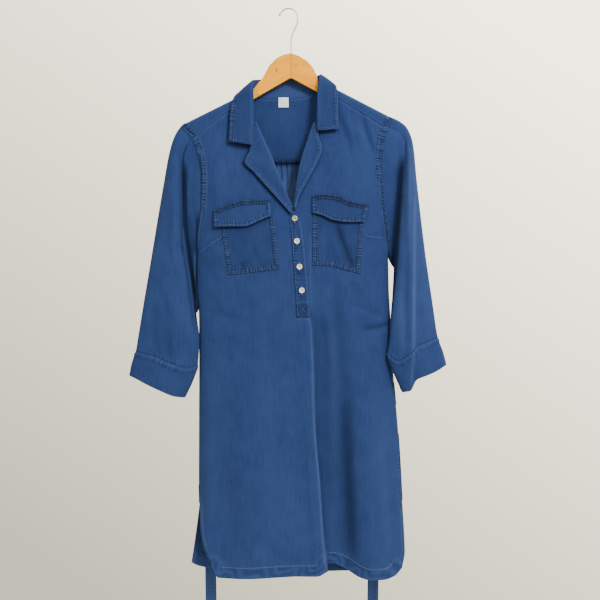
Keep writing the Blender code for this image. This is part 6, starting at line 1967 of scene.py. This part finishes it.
class Nodes:
    """A material's or world's node tree. Each call makes one node and returns its output."""

    def __init__(self, owner):
        owner.use_nodes = True
        self.tree = owner.node_tree

    def put(self, socket, value):
        if isinstance(value, bpy.types.NodeSocket):
            self.tree.links.new(value, socket)
        else:
            socket.default_value = value

    def add(self, kind, inputs, output=0, **settings):
        node = self.tree.nodes.new("ShaderNode" + kind)
        for key, value in settings.items():
            setattr(node, key, value)
        for key, value in inputs.items():
            self.put(node.inputs[key], value)
        return node.outputs[output]

    def calc(self, operation, a, b=0.0, clamp=False):
        return self.add("Math", {0: a, 1: b}, operation=operation, use_clamp=clamp)

    def times(self, first, *others):
        for other in others:
            first = self.calc("MULTIPLY", first, other)
        return first

    def plus(self, a, b):
        return self.calc("ADD", a, b)

    def blend(self, share, a, b):
        return self.add("Mix", {0: share, 6: a, 7: b}, 2, data_type="RGBA")

    def ramp(self, value, low, high, start=0.0, stop=1.0, kind="LINEAR"):
        ends = {"Value": value, "From Min": low, "From Max": high, "To Min": start, "To Max": stop}
        return self.add("MapRange", ends, interpolation_type=kind)

    def place(self):
        return self.add("TexCoord", {}, "Object")

    def stretch(self, vector, scale, turn=0.0):
        return self.add("Mapping", {"Vector": vector, "Scale": scale, "Rotation": (0.0, turn, 0.0)})

    def noise(self, vector, scale, detail, rough=0.5):
        values = {"Vector": vector, "Scale": scale, "Detail": detail, "Roughness": rough}
        return self.add("TexNoise", values, "Fac")

    def parts(self, vector):
        return self.add("SeparateXYZ", {0: vector}).node.outputs

    def normal_parts(self):
        return self.parts(self.add("NewGeometry", {}, "Normal"))

    def attribute(self, name, output="Fac"):
        return self.add("Attribute", {}, output, attribute_name=name, attribute_type="GEOMETRY")

    def bump(self, height, strength, distance):
        return self.add("Bump", {"Height": height, "Strength": strength, "Distance": distance})


def new_material(name):
    material = bpy.data.materials.new(name)
    return material, Nodes(material)


def finish(nodes, values):
    """Gives a material's shader its values."""
    shader = nodes.tree.nodes["Principled BSDF"]
    for key, value in values.items():
        nodes.put(shader.inputs[key], value)


def chambray(name):
    """Washed chambray: dark warp and pale weft threads, slubs, seams worn light over dark folds, and the
    painted light and shade that the cloth's points carry.
    """
    material, n = new_material(name)
    place = n.place()
    warp = n.noise(n.stretch(place, (1500, 1500, 160)), 1.0, 2.0, 0.6)
    weft = n.noise(n.stretch(place, (170, 170, 1500)), 1.0, 2.0, 0.6)
    slub = n.noise(n.stretch(place, (330, 330, 26)), 1.0, 3.0, 0.6)
    cloud, wide = n.noise(place, 26.0, 3.0, 0.55), n.noise(place, 7.0, 2.0)
    grain = n.plus(n.times(warp, 0.55), n.times(weft, 0.45))
    grain = n.plus(n.times(grain, 0.62), n.times(slub, 0.38))
    colour = n.blend(n.ramp(grain, 0.3, 0.7), CLOTH_DEEP, CLOTH_LIGHT)
    tone = n.plus(n.times(cloud, 0.6), n.times(wide, 0.4))
    colour = n.blend(n.ramp(tone, 0.3, 0.7, 0.0, 0.24), colour, CLOTH_FADED_AND_LIT)
    seam = n.parts(n.attribute("seam", "Vector"))
    away, run, force = n.calc("ABSOLUTE", seam[0]), seam[1], seam[2]
    wide_band = n.times(n.ramp(away, 3.0, 8.0, 1.0, 0.0, "SMOOTHSTEP"), force)
    tight = n.times(n.ramp(away, 0.4, 1.9, 1.0, 0.0, "SMOOTHSTEP"), force)
    lane = n.add("CombineXYZ", {0: n.times(run, 0.26), 1: n.times(seam[0], 0.06), 2: 0.0})
    drift = n.times(n.noise(n.stretch(lane, (0.3, 1, 1)), 1.0, 1.0), 9.0)
    beat = n.calc("SINE", n.plus(n.times(run, 2 * math.pi / BEAD_PITCH), drift))
    pucker = n.plus(n.noise(lane, 1.0, 2.0, 0.55), n.times(beat, 0.13))
    peak, hollow = n.ramp(pucker, 0.46, 0.68), n.ramp(pucker, 0.5, 0.32)
    inside = n.times(n.attribute("inner"), n.calc("LESS_THAN", n.normal_parts()[1], 0.0))
    wear_and_painted_light = n.plus(n.attribute("wear_and_painted_light"), inside)
    # Paler above zero, partly wear and partly painted light; painted shade below zero; painted light on the
    # gathers' inner side
    for share, tint in (
        (n.times(wide_band, 0.34), CLOTH_DARK), (n.times(wide_band, hollow, 0.8), CLOTH_DARK),
        (n.times(wide_band, peak, 0.72), CLOTH_FADED_AND_LIT), (n.times(tight, 0.2), CLOTH_FADED_AND_LIT),
        (n.calc("MULTIPLY", wear_and_painted_light, 1.0, clamp=True), CLOTH_FADED_AND_LIT),
        (n.calc("MULTIPLY", wear_and_painted_light, -1.0, clamp=True), CLOTH_DARK),
        (n.calc("SUBTRACT", inside, 0.8, clamp=True), INNER_PAINTED_LIGHT),
    ):
        colour = n.blend(share, colour, tint)
    height = n.plus(n.times(grain, 0.12), n.times(pucker, wide_band, 3.2))
    height = n.plus(height, n.times(cloud, 0.5))
    finish(n, {
        "Base Color": colour, "Normal": n.bump(height, 1.0, 0.0009), "Roughness": 0.88,
        "Specular IOR Level": 0.05, "Sheen Weight": 0.04, "Sheen Roughness": 0.5, "Sheen Tint": SHEEN_TINT,
    })
    return material


def plain(name, colour, roughness, sheen=0.0):
    material, n = new_material(name)
    finish(n, {"Base Color": (*colour, 1.0), "Roughness": roughness, "Sheen Weight": sheen})
    return material


def label_cloth(name):
    material, n = new_material(name)
    ribs = n.noise(n.stretch(n.place(), (400, 400, 3200)), 1.0, 1.0)
    colour = n.blend(ribs, LABEL_DEEP, LABEL_PALE)
    finish(n, {
        "Base Color": colour, "Normal": n.bump(ribs, 0.4, 0.0002), "Roughness": 0.8, "Sheen Weight": 0.1,
    })
    return material


def pearl(name, low, high):
    material, n = new_material(name)
    swirl = n.noise(n.stretch(n.place(), (240, 240, 420)), 1.0, 3.0, 0.6)
    finish(n, {
        "Base Color": n.blend(swirl, low, high), "Roughness": 0.22,
        "Coat Weight": 0.6, "Coat Roughness": 0.12,
    })
    return material


def varnished_wood(name, slope):
    """Pale wood with grain that runs along the arm, a few knots and reddish veins, under clear varnish, with
    painted shade on the arm's underside.
    """
    material, n = new_material(name)
    place = n.place()
    turned = n.stretch(place, (1, 1, 1), slope)
    bend = n.noise(n.stretch(turned, (9, 9, 30)), 1.0, 2.0)
    fine = n.noise(n.stretch(turned, (28, 300, 620)), 1.0, 4.0, 0.65)
    veins = n.noise(n.stretch(turned, (11, 60, 190)), 1.0, 3.0, 0.6)
    colour = n.blend(fine, WOOD_DEEP, WOOD_PALE)
    colour = n.blend(n.ramp(veins, 0.55, 0.72, 0.0, 0.55), colour, WOOD_VEIN)
    colour = n.blend(n.ramp(bend, 0.45, 0.7, 0.0, 0.5), colour, WOOD_BRIGHT)
    long_place = n.stretch(place, KNOT_SHAPE)
    for x, z, size in KNOTS:
        centre = (x * KNOT_SHAPE[0] * MM, 0.0, z * KNOT_SHAPE[2] * MM)
        away = n.add("VectorMath", {0: long_place, 1: centre}, "Value", operation="DISTANCE")
        spot = n.ramp(away, size * 0.3 * MM, size * MM, 0.8, 0.0, "SMOOTHSTEP")
        colour = n.blend(spot, colour, WOOD_KNOT)
    # painted shade on the arm's underside
    under = n.ramp(n.normal_parts()[2], -0.25, -0.75, 0.0, 0.85)
    finish(n, {
        "Base Color": n.blend(under, colour, WOOD_UNDERSIDE_SHADE), "Normal": n.bump(fine, 0.25, 0.0003),
        "Roughness": 0.42, "Specular IOR Level": 0.08, "Coat Weight": 0.08, "Coat Roughness": 0.15,
    })
    return material


def wire_steel(name):
    material, n = new_material(name)
    rough = n.ramp(n.noise(n.place(), 160.0, 3.0), 0.3, 0.7, 0.2, 0.42)
    finish(n, {"Base Color": STEEL_COLOUR, "Roughness": rough, "Metallic": 1.0})
    return material


CHAMBRAY = chambray("chambray")
THREAD = plain("thread", THREAD_COLOUR, 0.8, 0.1)
LABEL_WEAVE = label_cloth("label_weave")
PEARL = pearl("pearl", *PEARL_COLOURS)
SHADED_PEARL = pearl("shaded_pearl", *SHADED_PEARL_COLOURS)


# ---------------------------------------------------------------- the whole

def main():
    for make in (
        make_front, make_back, make_yoke, make_collar, make_pockets, make_flaps, make_placket, make_sleeves,
        make_cuffs, make_ties, make_label, make_buttons, sew_front, sew_back, sew_yoke, sew_patches,
        sew_placket, sew_collar, sew_cuffs, sew_ties, sew_label, make_joint,
    ):
        make()
    for node, material in (
        ("hanger_L", varnished_wood("wood_L", 0.45)), ("hanger_R", varnished_wood("wood_R", -0.46)),
        ("hanger_hook", wire_steel("wire")),
    ):
        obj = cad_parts[node]
        obj.data.materials.clear()
        obj.data.materials.append(material)


def make_joint():
    """The glue line between the hanger's halves."""
    top, foot, half = JOINT_TOP + 0.4, JOINT_UNDER - 0.4, HANGER_THICK / 2 - 0.7
    corners = [
        (x * MM, y * MM, z * MM)
        for x in (HANGER_JOINT - 0.3, HANGER_JOINT + 0.3) for z in (foot, top) for y in (-half, half)
    ]
    mesh = bpy.data.meshes.new("hanger_joint")
    mesh.from_pydata(corners, [], [
        (0, 1, 3, 2), (4, 6, 7, 5), (0, 4, 5, 1), (2, 3, 7, 6), (0, 2, 6, 4), (1, 5, 7, 3)])
    add_object("hanger_joint", mesh, plain("glue", GLUE_COLOUR, 0.6), "hanger_wood")


def place_in_scene(name, data, place):
    obj = bpy.data.objects.new(name, data)
    bpy.context.scene.collection.objects.link(obj)
    obj.location = place
    return obj


def make_stage():
    bpy.ops.mesh.primitive_circle_add(
        vertices=96, radius=FLOOR_RADIUS * MM, fill_type="NGON", location=(0.0, 0.0, FLOOR_Z * MM))
    floor = bpy.context.object
    floor.name = "floor"
    floor.data.materials.append(plain("floor_paint", FLOOR_COLOUR, 0.7))
    world = bpy.data.worlds.new("studio")
    bpy.context.scene.world = world
    n = Nodes(world)
    toward = n.parts(n.add("TexCoord", {}, "Generated"))
    slope = n.plus(n.times(toward[0], WORLD_SLOPE[0]), n.times(toward[2], WORLD_SLOPE[1]))
    slope = n.calc("MINIMUM", n.calc("MAXIMUM", slope, -WORLD_RANGE), WORLD_RANGE)
    facing = n.ramp(toward[1], -0.8, 0.5, WORLD_STRENGTH * WORLD_FRONT, WORLD_STRENGTH)
    shine = n.tree.nodes["Background"]
    n.put(shine.inputs["Strength"], n.times(n.calc("EXPONENT", slope), facing))
    n.put(shine.inputs["Color"], WORLD_COLOUR)
    for name, place, aim, size, power in LIGHTS:
        data = bpy.data.lights.new(name, "AREA")
        data.shape, data.size, data.energy = "DISK", size, power
        light = place_in_scene(name, data, place)
        light.rotation_euler = (Vector(aim) - Vector(place)).to_track_quat("-Z", "Y").to_euler()
    data = bpy.data.cameras.new("camera")
    data.lens = LENS
    data.sensor_width = SENSOR
    camera = place_in_scene("camera", data, [size * MM for size in CAMERA])
    camera.rotation_euler = (math.pi / 2, 0.0, 0.0)
    bpy.context.scene.camera = camera


main()
make_stage()
